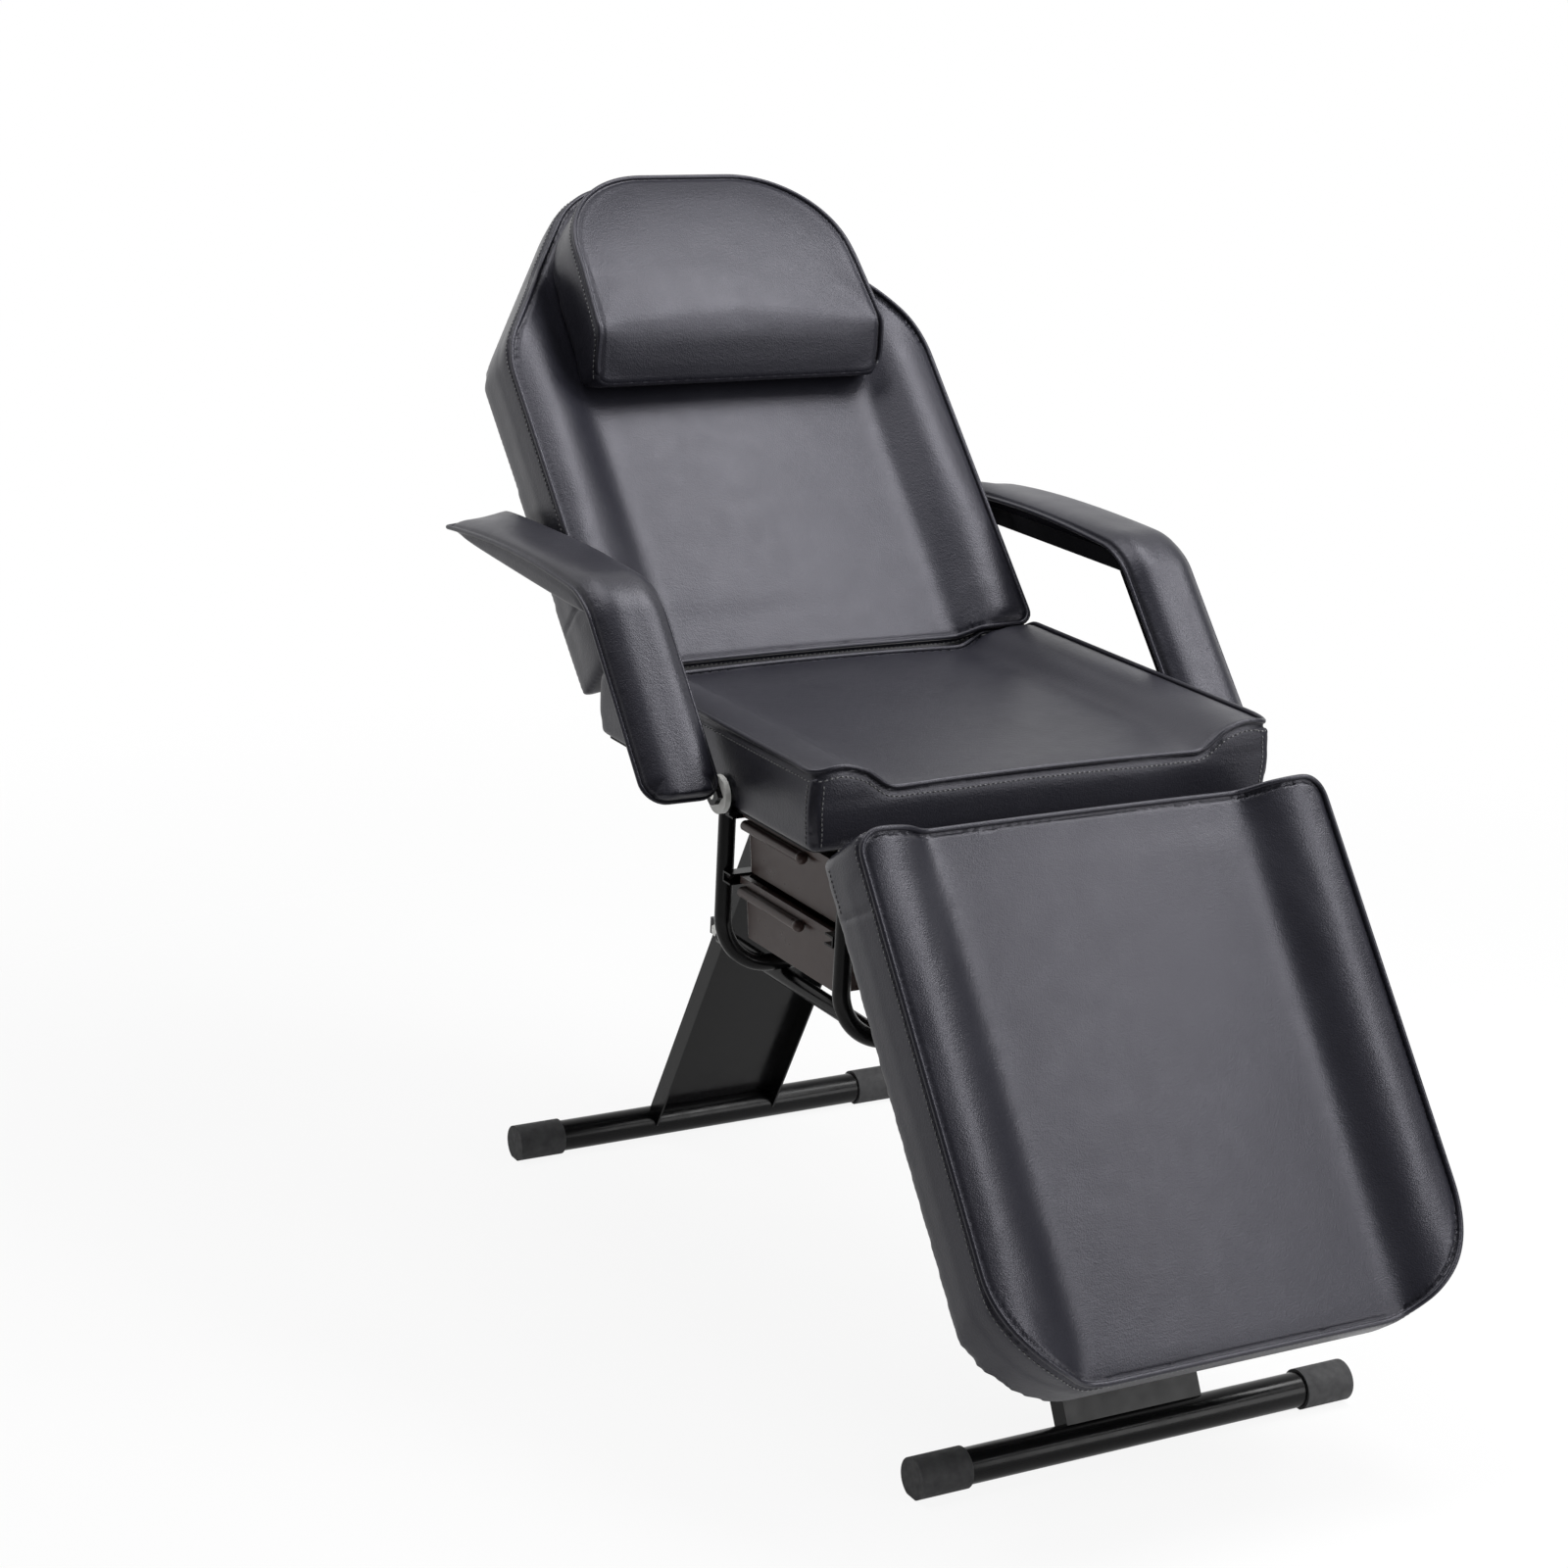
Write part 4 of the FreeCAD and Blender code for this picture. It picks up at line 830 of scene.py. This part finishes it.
@dataclass
class Cushion(Padding):
    """One padded section: its outline, its piped top seam and its stitching."""

    plane: Plane = SEAT
    corners: tuple[Corner, ...] = ()
    depth: float = 0.086
    board: float = 0.0143
    swelling: Pair = (-1.0, 1.0)
    inset: float = 0.0045
    edge: float = 0.0018
    stitch_drop: float = 0.0085
    relax_rounds: int = 36
    panel_edge: float = -0.034
    bead_crease: Triple = (0.0014, 0.0018, 0.0044)
    side_crease: Triple = (0.0020, 0.0024, 0.0052)
    roll: float = 0.0
    hinge_half: float = 0.255

    def build(self) -> None:
        """Make the cover, its piping and its top stitching."""
        seam, outward = self.seam()
        piece = self.grow(self.stretched, seam)
        self.relax(piece, self.looseness(piece, seam), self.relax_rounds)
        self.gather(piece, seam)
        self.roll_under(piece)
        self.finish(piece, 0.9)
        self.crease(piece, seam, *self.bead_crease)
        self.crease(piece, seam, *self.side_crease, self.plane.out)
        self.side_seams(piece)
        proud = [point + way * 0.0004 + self.plane.out * 0.0011 for point, way in zip(seam, outward)]
        self.pipe(f"{self.node}_piping", proud)
        guide = [point - self.plane.out * self.stitch_drop + way * 0.006 for point, way in zip(seam, outward)]
        self.sew(f"{self.node}_stitching", piece, guide + guide[:1])

    def stretched(self, coords: np.ndarray) -> np.ndarray:
        """Which points are on the tight sides or ends of the cover."""
        local = self.plane.local(coords)
        low, high = self.swelling
        return (local[:, 2] < self.panel_edge) | (local[:, 1] < low) | (local[:, 1] > high)

    def wrap(self, piece: bpy.types.Object) -> None:
        """Draw the cover down round the edge of its board."""
        coords = coords_of(piece)
        low = self.plane.local(coords)[:, 2] < self.board + 0.002 - self.depth
        coords[low] -= row(self.plane.out) * (self.board - 0.0005)
        set_coords(piece, coords)

    def looseness(self, piece: bpy.types.Object, seam: Sequence[Vector]) -> np.ndarray:
        """How freely each point of the top panel eases: not at all at the seam, fully in the middle."""
        coords = coords_of(piece)
        gaps, _ = nearest_on(coords, seam)
        facing = normals_of(piece) @ row(self.plane.out) > 0.6
        top = facing & (self.plane.local(coords)[:, 2] > self.panel_edge)
        return np.where(top, np.clip((gaps - 0.006) / 0.030, 0.0, 1.0), 0.0)

    def roll_under(self, piece: bpy.types.Object) -> None:
        """Roll the cover's edge under the board, except where the hinges are."""
        coords = coords_of(piece)
        local = self.plane.local(coords)
        loop = [Vector((x, along, 0.0)) for x, along in rounded_loop(mirrored(self.corners), 0.004)]
        gaps, _ = nearest_on(local * np.array((1.0, 1.0, 0.0)), loop)
        rim = np.exp(-((np.maximum(gaps - 0.006, 0.0) / 0.009) ** 2))
        low = np.clip((0.014 - self.depth - local[:, 2]) / 0.014, 0.0, 1.0)
        away = np.clip((np.abs(local[:, 1]) - 0.012) / 0.05, 0.0, 1.0)
        away = np.maximum(away, np.clip((np.abs(local[:, 0]) - self.hinge_half) / 0.02, 0.0, 1.0))
        set_coords(piece, coords - np.outer(self.roll * rim * low * away, tuple(self.plane.out)))

    def seam(self) -> tuple[list[Vector], list[Vector]]:
        """The line round the top panel, and the way out of the panel along it."""
        tree = surface_of(frame["nodes"][self.node])
        loop = rounded_loop(self.inner_corners(self.inset), 0.004)
        line = []
        for x, along in loop:
            spot, _, _, _ = tree.ray_cast(self.plane.point(x, along, 0.2), -self.plane.out)
            spot = spot if spot is not None else line[-1]
            line.append(spot - self.plane.out * self.corner_drop(x, along))
        line = eased(line, 2, True)
        outward = []
        for before, after in zip(line[-1:] + line[:-1], line[1:] + line[:1]):
            outward.append((after - before).cross(self.plane.out).normalized())
        return [point + way * self.edge for point, way in zip(line, outward)], outward

    def corner_drop(self, x: float, along: float) -> float:
        """How far the seam is drawn down at a place of the outline."""
        return 0.0

    def inner_corners(self, inset: float) -> list[Corner]:
        """The outline's corners, drawn in by an inset."""
        runs = [corner[1] for corner in self.corners]
        centre = (min(runs) + max(runs)) / 2
        half = []
        for x, along, radius in self.corners:
            inward = inset if along < centre else -inset
            half.append((x - inset, along + inward, max(radius - inset, 0.006)))
        return mirrored(half)

    def side_seams(self, piece: bpy.types.Object) -> None:
        """Seams that only this cushion's sides have."""

    def cross_seam(self, piece: bpy.types.Object, runs: Pair) -> None:
        """Join two side panels by a seam across each side.

        Args:
            piece: the cover.
            runs: where the seam lies along the section, at the piping and at the board.
        """
        half = self.corners[0][0]
        for side in Side:
            line = []
            for k in range(61):
                share = k / 60
                run = runs[0] + (runs[1] - runs[0]) * share
                drop = 0.006 + share * (self.depth - 0.008)
                line.append(self.plane.point(side.value * (half - 0.001), run, -drop))
            self.crease(piece, line, 0.0022, 0.0030)


@dataclass
class SeatCushion(Cushion):
    """The seat, with sewn upright seams at its front corners."""

    room: float = 0.002
    room_from: float = 0.005
    room_depths: Pair = (-0.020, 0.004)

    def corner_drop(self, x: float, along: float) -> float:
        """The front corners are drawn down a little."""
        half = self.corners[0][0]
        return 0.005 * math.exp(-((math.hypot(half - abs(x), along) / 0.020) ** 2))

    def roll_under(self, piece: bpy.types.Object) -> None:
        """Leave room for the lower edge of the back rest where it stands steepest."""
        super().roll_under(piece)
        coords = coords_of(piece)
        local = STEEP_BACK.local(coords)
        low, high = self.room_depths
        near = (local[:, 2] > low) & (local[:, 2] < high)
        push = np.where(near, np.clip(local[:, 1] - self.room_from, 0.0, self.room), 0.0)
        set_coords(piece, coords - np.outer(push, tuple(STEEP_BACK.along)))

    def side_seams(self, piece: bpy.types.Object) -> None:
        """Sew the front corners."""
        half = self.corners[0][0]
        drops = [0.010 + k * 0.0022 for k in range(33)]
        tree = surface_of(piece)
        for side in Side:
            corner = [self.plane.point(side.value * (half + 0.02), -0.02, -drop) for drop in drops]
            self.crease(piece, [tree.find_nearest(point)[0] for point in corner], 0.0020, 0.0024)
            for word, x, along in (("side", half + 0.02, 0.0115), ("front", half - 0.0115, -0.02)):
                guide = [self.plane.point(side.value * x, along, -drop) for drop in drops]
                self.sew(f"seat_corner_stitching_{side.word}_{word}", piece, guide, 0.0055)


@dataclass
class BackCushion(Cushion):
    """The back rest, whose side panels are joined below the arms."""

    def side_seams(self, piece: bpy.types.Object) -> None:
        """Join the side panels."""
        self.cross_seam(piece, (0.094, 0.088))


@dataclass
class LegCushion(Cushion):
    """The leg rest, whose side panels are joined near the knee and hemmed above the joint."""

    def side_seams(self, piece: bpy.types.Object) -> None:
        """Join the side panels and hem their upper ends."""
        self.cross_seam(piece, (-0.080, -0.068))
        half = self.corners[0][0]
        for side in Side:
            runs = [-0.012 - k * 0.0028 for k in range(20)]
            guide = [self.plane.point(side.value * (half + 0.01), run, -0.072) for run in runs]
            self.sew(f"leg_hem_stitching_{side.word}", piece, guide, 0.0055)


@dataclass
class HeadPillow(Padding):
    """The D-shaped pillow with a piped face."""

    plane: Plane = BACK
    corners: tuple[Corner, ...] = ((0.198, 0.360, 0.020), (0.182, 0.642, 0.130))
    inset: float = 0.0035

    def build(self) -> None:
        """Make the pillow, the piping round its face and its lower seam."""
        tree = surface_of(frame["nodes"][self.node])
        low, high = self.corners
        half = [(low[0] - self.inset, low[1] + self.inset, low[2] - self.inset),
                (high[0] - self.inset, high[1] - self.inset, high[2] - self.inset)]
        line = []
        for x, along in rounded_loop(mirrored(half), 0.004):
            spot, _, _, _ = tree.ray_cast(self.plane.point(x, along, 0.3), -self.plane.out)
            line.append(spot)
        line = eased(line, 3, True)
        piece = self.grow(self.stretched, line)
        gaps, _ = nearest_on(coords_of(piece), line)
        self.relax(piece, np.clip((gaps - 0.006) / 0.02, 0.0, 1.0) * ~self.stretched(coords_of(piece)), 14)
        self.gather(piece, line)
        self.finish(piece, 0.8)
        runs = self.plane.local(rows(line))[:, 1]
        foot = runs < self.corners[0][1] + 0.012
        first = int(np.flatnonzero(~foot & np.roll(foot, 1))[0])
        turned = line[first:] + line[:first]
        count = int((~foot).sum())
        self.crease(piece, turned[:count], 0.0016, 0.0020, 0.0046)
        self.crease(piece, turned[count:], 0.0018, 0.0024)
        self.pipe("head_pillow_piping", turned[:count], False)
        middle = self.plane.point(0.0, 0.5, 0.0)
        guide = [point - self.plane.out * 0.0105 + (point - middle).normalized() * 0.004
                 for point in turned[:count]]
        self.sew("head_pillow_stitching", piece, guide)

    def stretched(self, coords: np.ndarray) -> np.ndarray:
        """Which points are on the pillow's back or its tight sides."""
        local = self.plane.local(coords)
        return (local[:, 2] < 0.006) | (np.abs(local[:, 0]) > self.corners[0][0] - 0.004)


@dataclass
class ArmRest(Padding):
    """A bent arm pad with piping round its cover."""

    side: Side = Side.LEFT
    inner: float = 0.300
    outer: float = 0.392
    start: Pair = (-0.1151, 0.6253)
    corner: Pair = (0.0481, 0.813)
    end: float = 0.4391
    bend: float = 0.070
    front_round: float = 0.026
    slant: float = 0.032
    crown: float = 0.022
    skirt: float = 0.020
    plate_side: float = 0.012
    flatness: float = 0.85
    arch: float = 0.010
    slot: tuple[Pair, Pair] = ((0.3855, 0.7937), (0.4120, 0.8034))
    bolt_room: float = 0.0064

    @property
    def rise(self) -> Vector:
        """Direction of the rising part, seen from the side."""
        return (Vector(self.corner) - Vector(self.start)).normalized()

    @property
    def turn(self) -> float:
        """Angle between the rising and the level part."""
        return self.rise.angle(Vector((1.0, 0.0)))

    @property
    def reach(self) -> float:
        """Distance from the seam's corner to either end of its bend."""
        return self.bend * math.tan(self.turn / 2)

    @property
    def straight(self) -> float:
        """Length of the rising part below the bend."""
        return (Vector(self.corner) - Vector(self.start)).length - self.reach

    @property
    def length(self) -> float:
        """Length of the seam line."""
        return self.straight + self.bend * self.turn + self.end - self.corner[0] - self.reach

    def spine(self, run: float) -> Vector:
        """A point of the seam line, seen from the side.

        Args:
            run: distance along the seam from the lower end.

        Returns:
            The point's Y and Z.
        """
        rise, first, arc = self.rise, self.straight, self.bend * self.turn
        start = Vector(self.start)
        if run < first:
            return start + rise * run
        if run < first + arc:
            out = Vector((-rise.y, rise.x))
            angle = math.atan2(out.y, out.x) - (run - first) / self.bend
            return start + rise * first + (Vector((math.cos(angle), math.sin(angle))) - out) * self.bend
        return Vector(self.corner) + Vector((self.reach + run - first - arc, 0.0))

    def build(self) -> None:
        """Make the arm's cover and its piping."""
        middle = (self.inner + self.outer) / 2
        half = (self.outer - self.inner) / 2 - 0.0015
        plan = rounded_loop([(half, 0.0015, self.front_round), (half, self.length - 0.003 - self.slant, 0.003),
                             (-half, self.length - 0.003, 0.003), (-half, 0.0015, self.front_round)], 0.004)
        seam = []
        for across, run in plan:
            seam.append(Vector((self.side.value * (middle + across), *self.spine(run))))
        piece = self.grow(self.stretched, seam)
        self.round_front(piece)
        set_coords(piece, self.draw_tail(self.flatten(coords_of(piece))))
        seam = [Vector(spot) for spot in self.draw_tail(rows(seam))]
        self.gather(piece, seam, 0.006)
        self.finish(piece, 0.9)
        self.clear_slot(piece)
        self.crease(piece, seam, 0.0014, 0.0018, 0.0044)
        self.pipe(f"{self.side.word}_arm_piping", seam)

    def stretched(self, coords: np.ndarray) -> np.ndarray:
        """Which points are on the plate or on the tight sides of the arm."""
        across = np.abs(coords[:, 0])
        return (across < self.inner + 0.0085) | (across > self.outer - 0.003)

    def clear_slot(self, piece: bpy.types.Object) -> None:
        """Keep the cover clear of the bolt that slides in the arm's slot."""
        coords = coords_of(piece)
        front, rear = (Vector((0.0, *spot)) for spot in self.slot)
        path = [front.lerp(rear, k / 20) for k in range(21)]
        flat = coords * np.array((0.0, 1.0, 1.0))
        gaps, places = nearest_on(flat, path)
        close = (np.abs(coords[:, 0]) < self.inner + 0.0075) & (gaps < self.bolt_room)
        stretch = self.bolt_room / np.maximum(gaps, 1e-6) - 1
        coords[close] += ((flat - places) * stretch[:, None])[close]
        set_coords(piece, coords)

    def flatten(self, coords: np.ndarray) -> np.ndarray:
        """Give the pad's top a flatter middle and rounder edges.

        Args:
            coords: points of the cover.

        Returns:
            The points, moved.
        """
        start, corner, rise = (np.array(pair) for pair in (self.start, self.corner, self.rise))
        reach = self.reach
        out = np.array((-rise[1], rise[0]))
        centre = corner - rise * reach - out * self.bend
        flat = coords[:, 1:]
        spoke = flat - centre
        radius = np.linalg.norm(spoke, axis=1)
        normal = spoke / radius[:, None]
        height = radius - self.bend
        rising = (flat - corner) @ rise < -reach
        normal[rising] = out
        height[rising] = ((flat - start) @ out)[rising]
        level = flat[:, 0] > corner[0] + reach
        normal[level] = (0.0, 1.0)
        height[level] = (flat[:, 1] - corner[1])[level]
        half = (self.outer - self.inner) / 2
        part = np.clip(np.abs(np.abs(coords[:, 0]) - self.inner - half) / half, 0.0, 0.98)
        factor = self.flatness * (1 - part ** 3.5) / (1 - part ** 2)
        moved = coords.copy()
        moved[:, 1:] += normal * (np.maximum(height, 0.0) * (factor - 1))[:, None]
        return moved

    def draw_tail(self, coords: np.ndarray) -> np.ndarray:
        """Arch the level part's seam and draw its outer rear corner to a point.

        Args:
            coords: points of the cover or of its seam.

        Returns:
            The points, moved.
        """
        span = self.outer - self.inner - self.plate_side
        across = np.clip((np.abs(coords[:, 0]) - self.inner - self.plate_side) / span, 0.0, 1.0)
        tip = self.end - self.slant * across
        left = np.clip((tip - coords[:, 1]) / (tip - self.corner[0]), 0.0, 1.0)
        height = coords[:, 2] - self.corner[1]
        arch = self.arch * np.sin(np.pi * left)
        upper = arch + height * (1 - arch / self.crown) * (1 - 0.85 * across * (1 - left) ** 4)
        sides = arch * np.clip(1 + height / self.skirt, 0.0, 1.0)
        lower = sides + height * (1 - 0.95 * across * (1 - left) ** 1.5)
        moved = coords.copy()
        moved[:, 2] = np.where(left < 1.0, self.corner[1] + np.where(height > 0, upper, lower), coords[:, 2])
        return moved

    def round_front(self, piece: bpy.types.Object) -> None:
        """Round the two corners of the arm's lower end in plan."""
        coords = coords_of(piece)
        rise = np.array((0.0, *self.rise))
        run = (coords - np.array((0.0, *self.start))) @ rise
        middle = (self.inner + self.outer) / 2
        across = np.abs(coords[:, 0]) - middle
        half = (self.outer - self.inner) / 2
        radius = self.front_round
        down = radius - run
        over = np.abs(across) - (half - radius)
        both = (down > 0) & (over > 0)
        reach = np.maximum(down, over) / np.maximum(np.hypot(down, over), 1e-9)
        shift = np.zeros_like(coords)
        shift[both] += np.outer(down * (1 - reach), rise)[both]
        shift[both, 0] -= (over * (1 - reach) * np.sign(across) * np.sign(coords[:, 0]))[both]
        set_coords(piece, coords + shift)


@dataclass
class Trestle:
    """The steel base and everything else that keeps its constructed shape."""

    def dress(self, palette: Palette) -> None:
        """Give every constructed node its finish.

        Args:
            palette: the finishes.
        """
        finishes = {"plywood": palette.plywood, "black_steel": palette.coat, "zinc": palette.zinc,
                    "nylon": palette.nylon, "plastic": palette.plastic, "rubber": palette.rubber,
                    "upholstery": palette.vinyl}
        for part in frame["record"]["subparts"]:
            node = frame["nodes"][part["node"]]
            node.data.materials.clear()
            node.data.materials.append(finishes[part["material_slot"]])
        log.info("%d nodes dressed", len(frame["nodes"]))


@dataclass(frozen=True)
class Lamp:
    """A soft rectangular lamp that faces the bed: its place, way of its first side, sides and watts."""

    name: str
    place: Triple
    along: Triple
    size: Pair
    power: float
    target: Triple = (0.0, 0.0, 0.6)

    def add(self) -> None:
        """Add the lamp to the scene."""
        lamp = bpy.data.lights.new(self.name, "AREA")
        lamp.shape = "RECTANGLE"
        lamp.size, lamp.size_y = self.size
        lamp.energy = self.power
        holder = bpy.data.objects.new(self.name, lamp)
        bpy.context.collection.objects.link(holder)
        back = (Vector(self.place) - Vector(self.target)).normalized()
        upright = back.cross(Vector(self.along)).normalized()
        turn = Matrix((upright.cross(back), upright, back)).transposed().to_4x4()
        holder.matrix_world = Matrix.Translation(self.place) @ turn


DOWN_THE_BED = (0.27, -0.92, -0.29)
ACROSS = (1.0, 0.0, 0.0)
LAMPS = (Lamp("key_lamp", (1.0, -0.2, 2.95), DOWN_THE_BED, (1.5, 1.0), 46.0),
         Lamp("leg_lamp", (1.4, -2.1, 2.2), DOWN_THE_BED, (1.3, 0.8), 29.0),
         Lamp("side_lamp", (2.0, -0.9, 2.5), DOWN_THE_BED, (0.8, 0.8), 24.0),
         Lamp("top_lamp", (-0.7, 0.5, 3.1), ACROSS, (1.6, 1.6), 36.0),
         Lamp("fill_lamp", (2.0, -2.9, 0.8), ACROSS, (1.4, 1.4), 26.0))


@dataclass(frozen=True)
class Studio:
    """Camera, world and the pale floor."""

    eye: Triple = (-1.9436, -3.0772, 1.6379)
    azimuth: float = 29.98
    elevation: float = 15.78
    roll: float = 2.73
    lens: float = 77.2
    shift: Pair = (0.0029, -0.0222)
    ambient: float = 0.12
    wall: Pair = (-0.2, 0.7)
    floor_glow: float = 0.9
    floor_mirror: float = 0.5
    floor_edge: Pair = (1.0, 2.6)

    def build(self) -> None:
        """Set the camera, lamps, world and floor."""
        self.set_camera()
        self.set_world()
        for lamp in LAMPS:
            lamp.add()
        self.add_floor()
        bpy.context.scene.view_settings.view_transform = "Standard"

    def set_camera(self) -> None:
        """Place the camera at the photograph's viewing angle."""
        azimuth, elevation, roll = (math.radians(v) for v in (self.azimuth, self.elevation, self.roll))
        ahead = Vector((math.sin(azimuth) * math.cos(elevation), math.cos(azimuth) * math.cos(elevation),
                        -math.sin(elevation)))
        right = ahead.cross(Vector((0, 0, 1))).normalized()
        up = right.cross(ahead)
        tilted = right * math.cos(roll) + up * math.sin(roll)
        raised = up * math.cos(roll) - right * math.sin(roll)
        camera = bpy.data.cameras.new("photo_camera")
        camera.lens = self.lens
        camera.sensor_width = 36.0
        camera.shift_x, camera.shift_y = self.shift
        camera.clip_end = 100.0
        holder = bpy.data.objects.new("photo_camera", camera)
        bpy.context.collection.objects.link(holder)
        turn = Matrix((tilted, raised, -ahead)).transposed().to_4x4()
        holder.matrix_world = Matrix.Translation(self.eye) @ turn
        bpy.context.scene.camera = holder

    def set_world(self) -> None:
        """Faint light from all round, and a white backdrop that stands behind the bed in reflections."""
        world = bpy.data.worlds.new("studio")
        bpy.context.scene.world = world
        world.use_nodes = True
        tree = world.node_tree
        join = tree.links.new
        light = tree.nodes["Background"]
        light.inputs["Color"].default_value = (1.0, 1.0, 1.0, 1.0)
        light.inputs["Strength"].default_value = self.ambient
        white = tree.nodes.new("ShaderNodeBackground")
        white.inputs["Color"].default_value = (1.0, 1.0, 1.0, 1.0)
        white.inputs["Strength"].default_value = 1.0
        axes = tree.nodes.new("ShaderNodeSeparateXYZ")
        join(tree.nodes.new("ShaderNodeTexCoord").outputs["Generated"], axes.inputs["Vector"])
        wall = tree.nodes.new("ShaderNodeMapRange")
        wall.interpolation_type = "SMOOTHSTEP"
        set_range(wall, *self.wall, 0.0, 1.0)
        join(axes.outputs["Y"], wall.inputs["Value"])
        seen = self.seen(tree)
        join(wall.outputs["Result"], seen.inputs[1])
        mix = tree.nodes.new("ShaderNodeMixShader")
        join(seen.outputs["Value"], mix.inputs["Fac"])
        join(light.outputs["Background"], mix.inputs[1])
        join(white.outputs["Background"], mix.inputs[2])
        join(mix.outputs["Shader"], tree.nodes["World Output"].inputs["Surface"])

    def seen(self, tree: bpy.types.NodeTree) -> bpy.types.Node:
        """Tells the rays that see the background, straight or in metal, from those that only light the bed.

        Args:
            tree: the nodes that ask.

        Returns:
            A node whose value is 1 for a ray that sees the background straight or through glass, its second
            input for one that sees it in a reflection, and 0 for any other.
        """
        join = tree.links.new
        ray = tree.nodes.new("ShaderNodeLightPath")
        straight = tree.nodes.new("ShaderNodeMath")
        straight.operation = "MAXIMUM"
        join(ray.outputs["Is Camera Ray"], straight.inputs[0])
        join(ray.outputs["Is Transmission Ray"], straight.inputs[1])
        both = tree.nodes.new("ShaderNodeMath")
        both.operation = "MULTIPLY_ADD"
        join(ray.outputs["Is Glossy Ray"], both.inputs[0])
        join(straight.outputs["Value"], both.inputs[2])
        return both

    def add_floor(self) -> None:
        """Lay the white floor, which shows the bed's shadow faintly and fades into the background."""
        bpy.ops.object.select_all(action="DESELECT")
        bpy.ops.mesh.primitive_plane_add(size=6.0, location=(0, 0, -0.0005))
        floor = bpy.context.object
        floor.name = "studio_floor"
        shader = Shader("white_floor", (0.9, 0.9, 0.9), 0.9)
        shader.set("Specular IOR Level", 0.1)
        tree = shader.tree
        join = tree.links.new
        glow = tree.nodes.new("ShaderNodeEmission")
        glow.inputs["Strength"].default_value = 1.0
        share = tree.nodes.new("ShaderNodeMath")
        share.operation = "MULTIPLY"
        share.inputs[1].default_value = self.floor_glow
        seen = self.seen(tree)
        seen.inputs[1].default_value = self.floor_mirror
        join(seen.outputs["Value"], share.inputs[0])
        lit = tree.nodes.new("ShaderNodeMixShader")
        join(share.outputs["Value"], lit.inputs["Fac"])
        join(shader.surface.outputs["BSDF"], lit.inputs[1])
        join(glow.outputs["Emission"], lit.inputs[2])
        ring = tree.nodes.new("ShaderNodeVectorMath")
        ring.operation = "LENGTH"
        join(shader.place, ring.inputs[0])
        fade = tree.nodes.new("ShaderNodeMapRange")
        fade.interpolation_type = "SMOOTHSTEP"
        set_range(fade, *self.floor_edge, 0.0, 1.0)
        join(ring.outputs["Value"], fade.inputs["Value"])
        gone = tree.nodes.new("ShaderNodeMixShader")
        join(fade.outputs["Result"], gone.inputs["Fac"])
        join(lit.outputs["Shader"], gone.inputs[1])
        join(tree.nodes.new("ShaderNodeBsdfTransparent").outputs["BSDF"], gone.inputs[2])
        join(gone.outputs["Shader"], tree.nodes["Material Output"].inputs["Surface"])
        floor.data.materials.append(shader.material)


def main() -> None:
    """Build the bed piece by piece, then the studio."""
    logging.basicConfig(level=logging.INFO, format="%(name)s %(message)s")
    palette = Palette(VinylFinish().make(), PowderCoatFinish().make(), TrayPlasticFinish().make(),
                      RubberFinish().make(), ZincFinish().make(), NylonFinish().make(),
                      LinedPlywoodFinish().make(), ThreadFinish().make())
    Trestle().dress(palette)
    SeatCushion("seat_cushion", Body.BASE.value, palette, plane=SEAT, depth=0.086, swelling=(-1.0, 0.430),
                corners=((0.290, 0.0, 0.024), (0.290, 0.486, 0.014))).build()
    BackCushion("back_cushion", Body.BACK.value, palette, plane=BACK, depth=0.080, swelling=(0.070, 1.0),
                roll=0.012,
                corners=((0.287, 0.006, 0.014), (0.287, 0.431, 0.118), (0.119, 0.672, 0.110))).build()
    LegCushion("leg_cushion", Body.LEG.value, palette, plane=LEG, depth=0.080, swelling=(-1.0, -0.040),
               roll=0.008, corners=((0.290, -0.579, 0.125), (0.290, 0.0, 0.026))).build()
    HeadPillow("head_pillow", Body.PILLOW.value, palette, voxel=0.005, smooth_rounds=4).build()
    for side in Side:
        ArmRest(f"{side.word}_arm_pad", f"{side.word}_arm", palette, voxel=0.004, piping=0.0026,
                side=side).build()
    Studio().build()


if __name__ == "__main__":
    main()
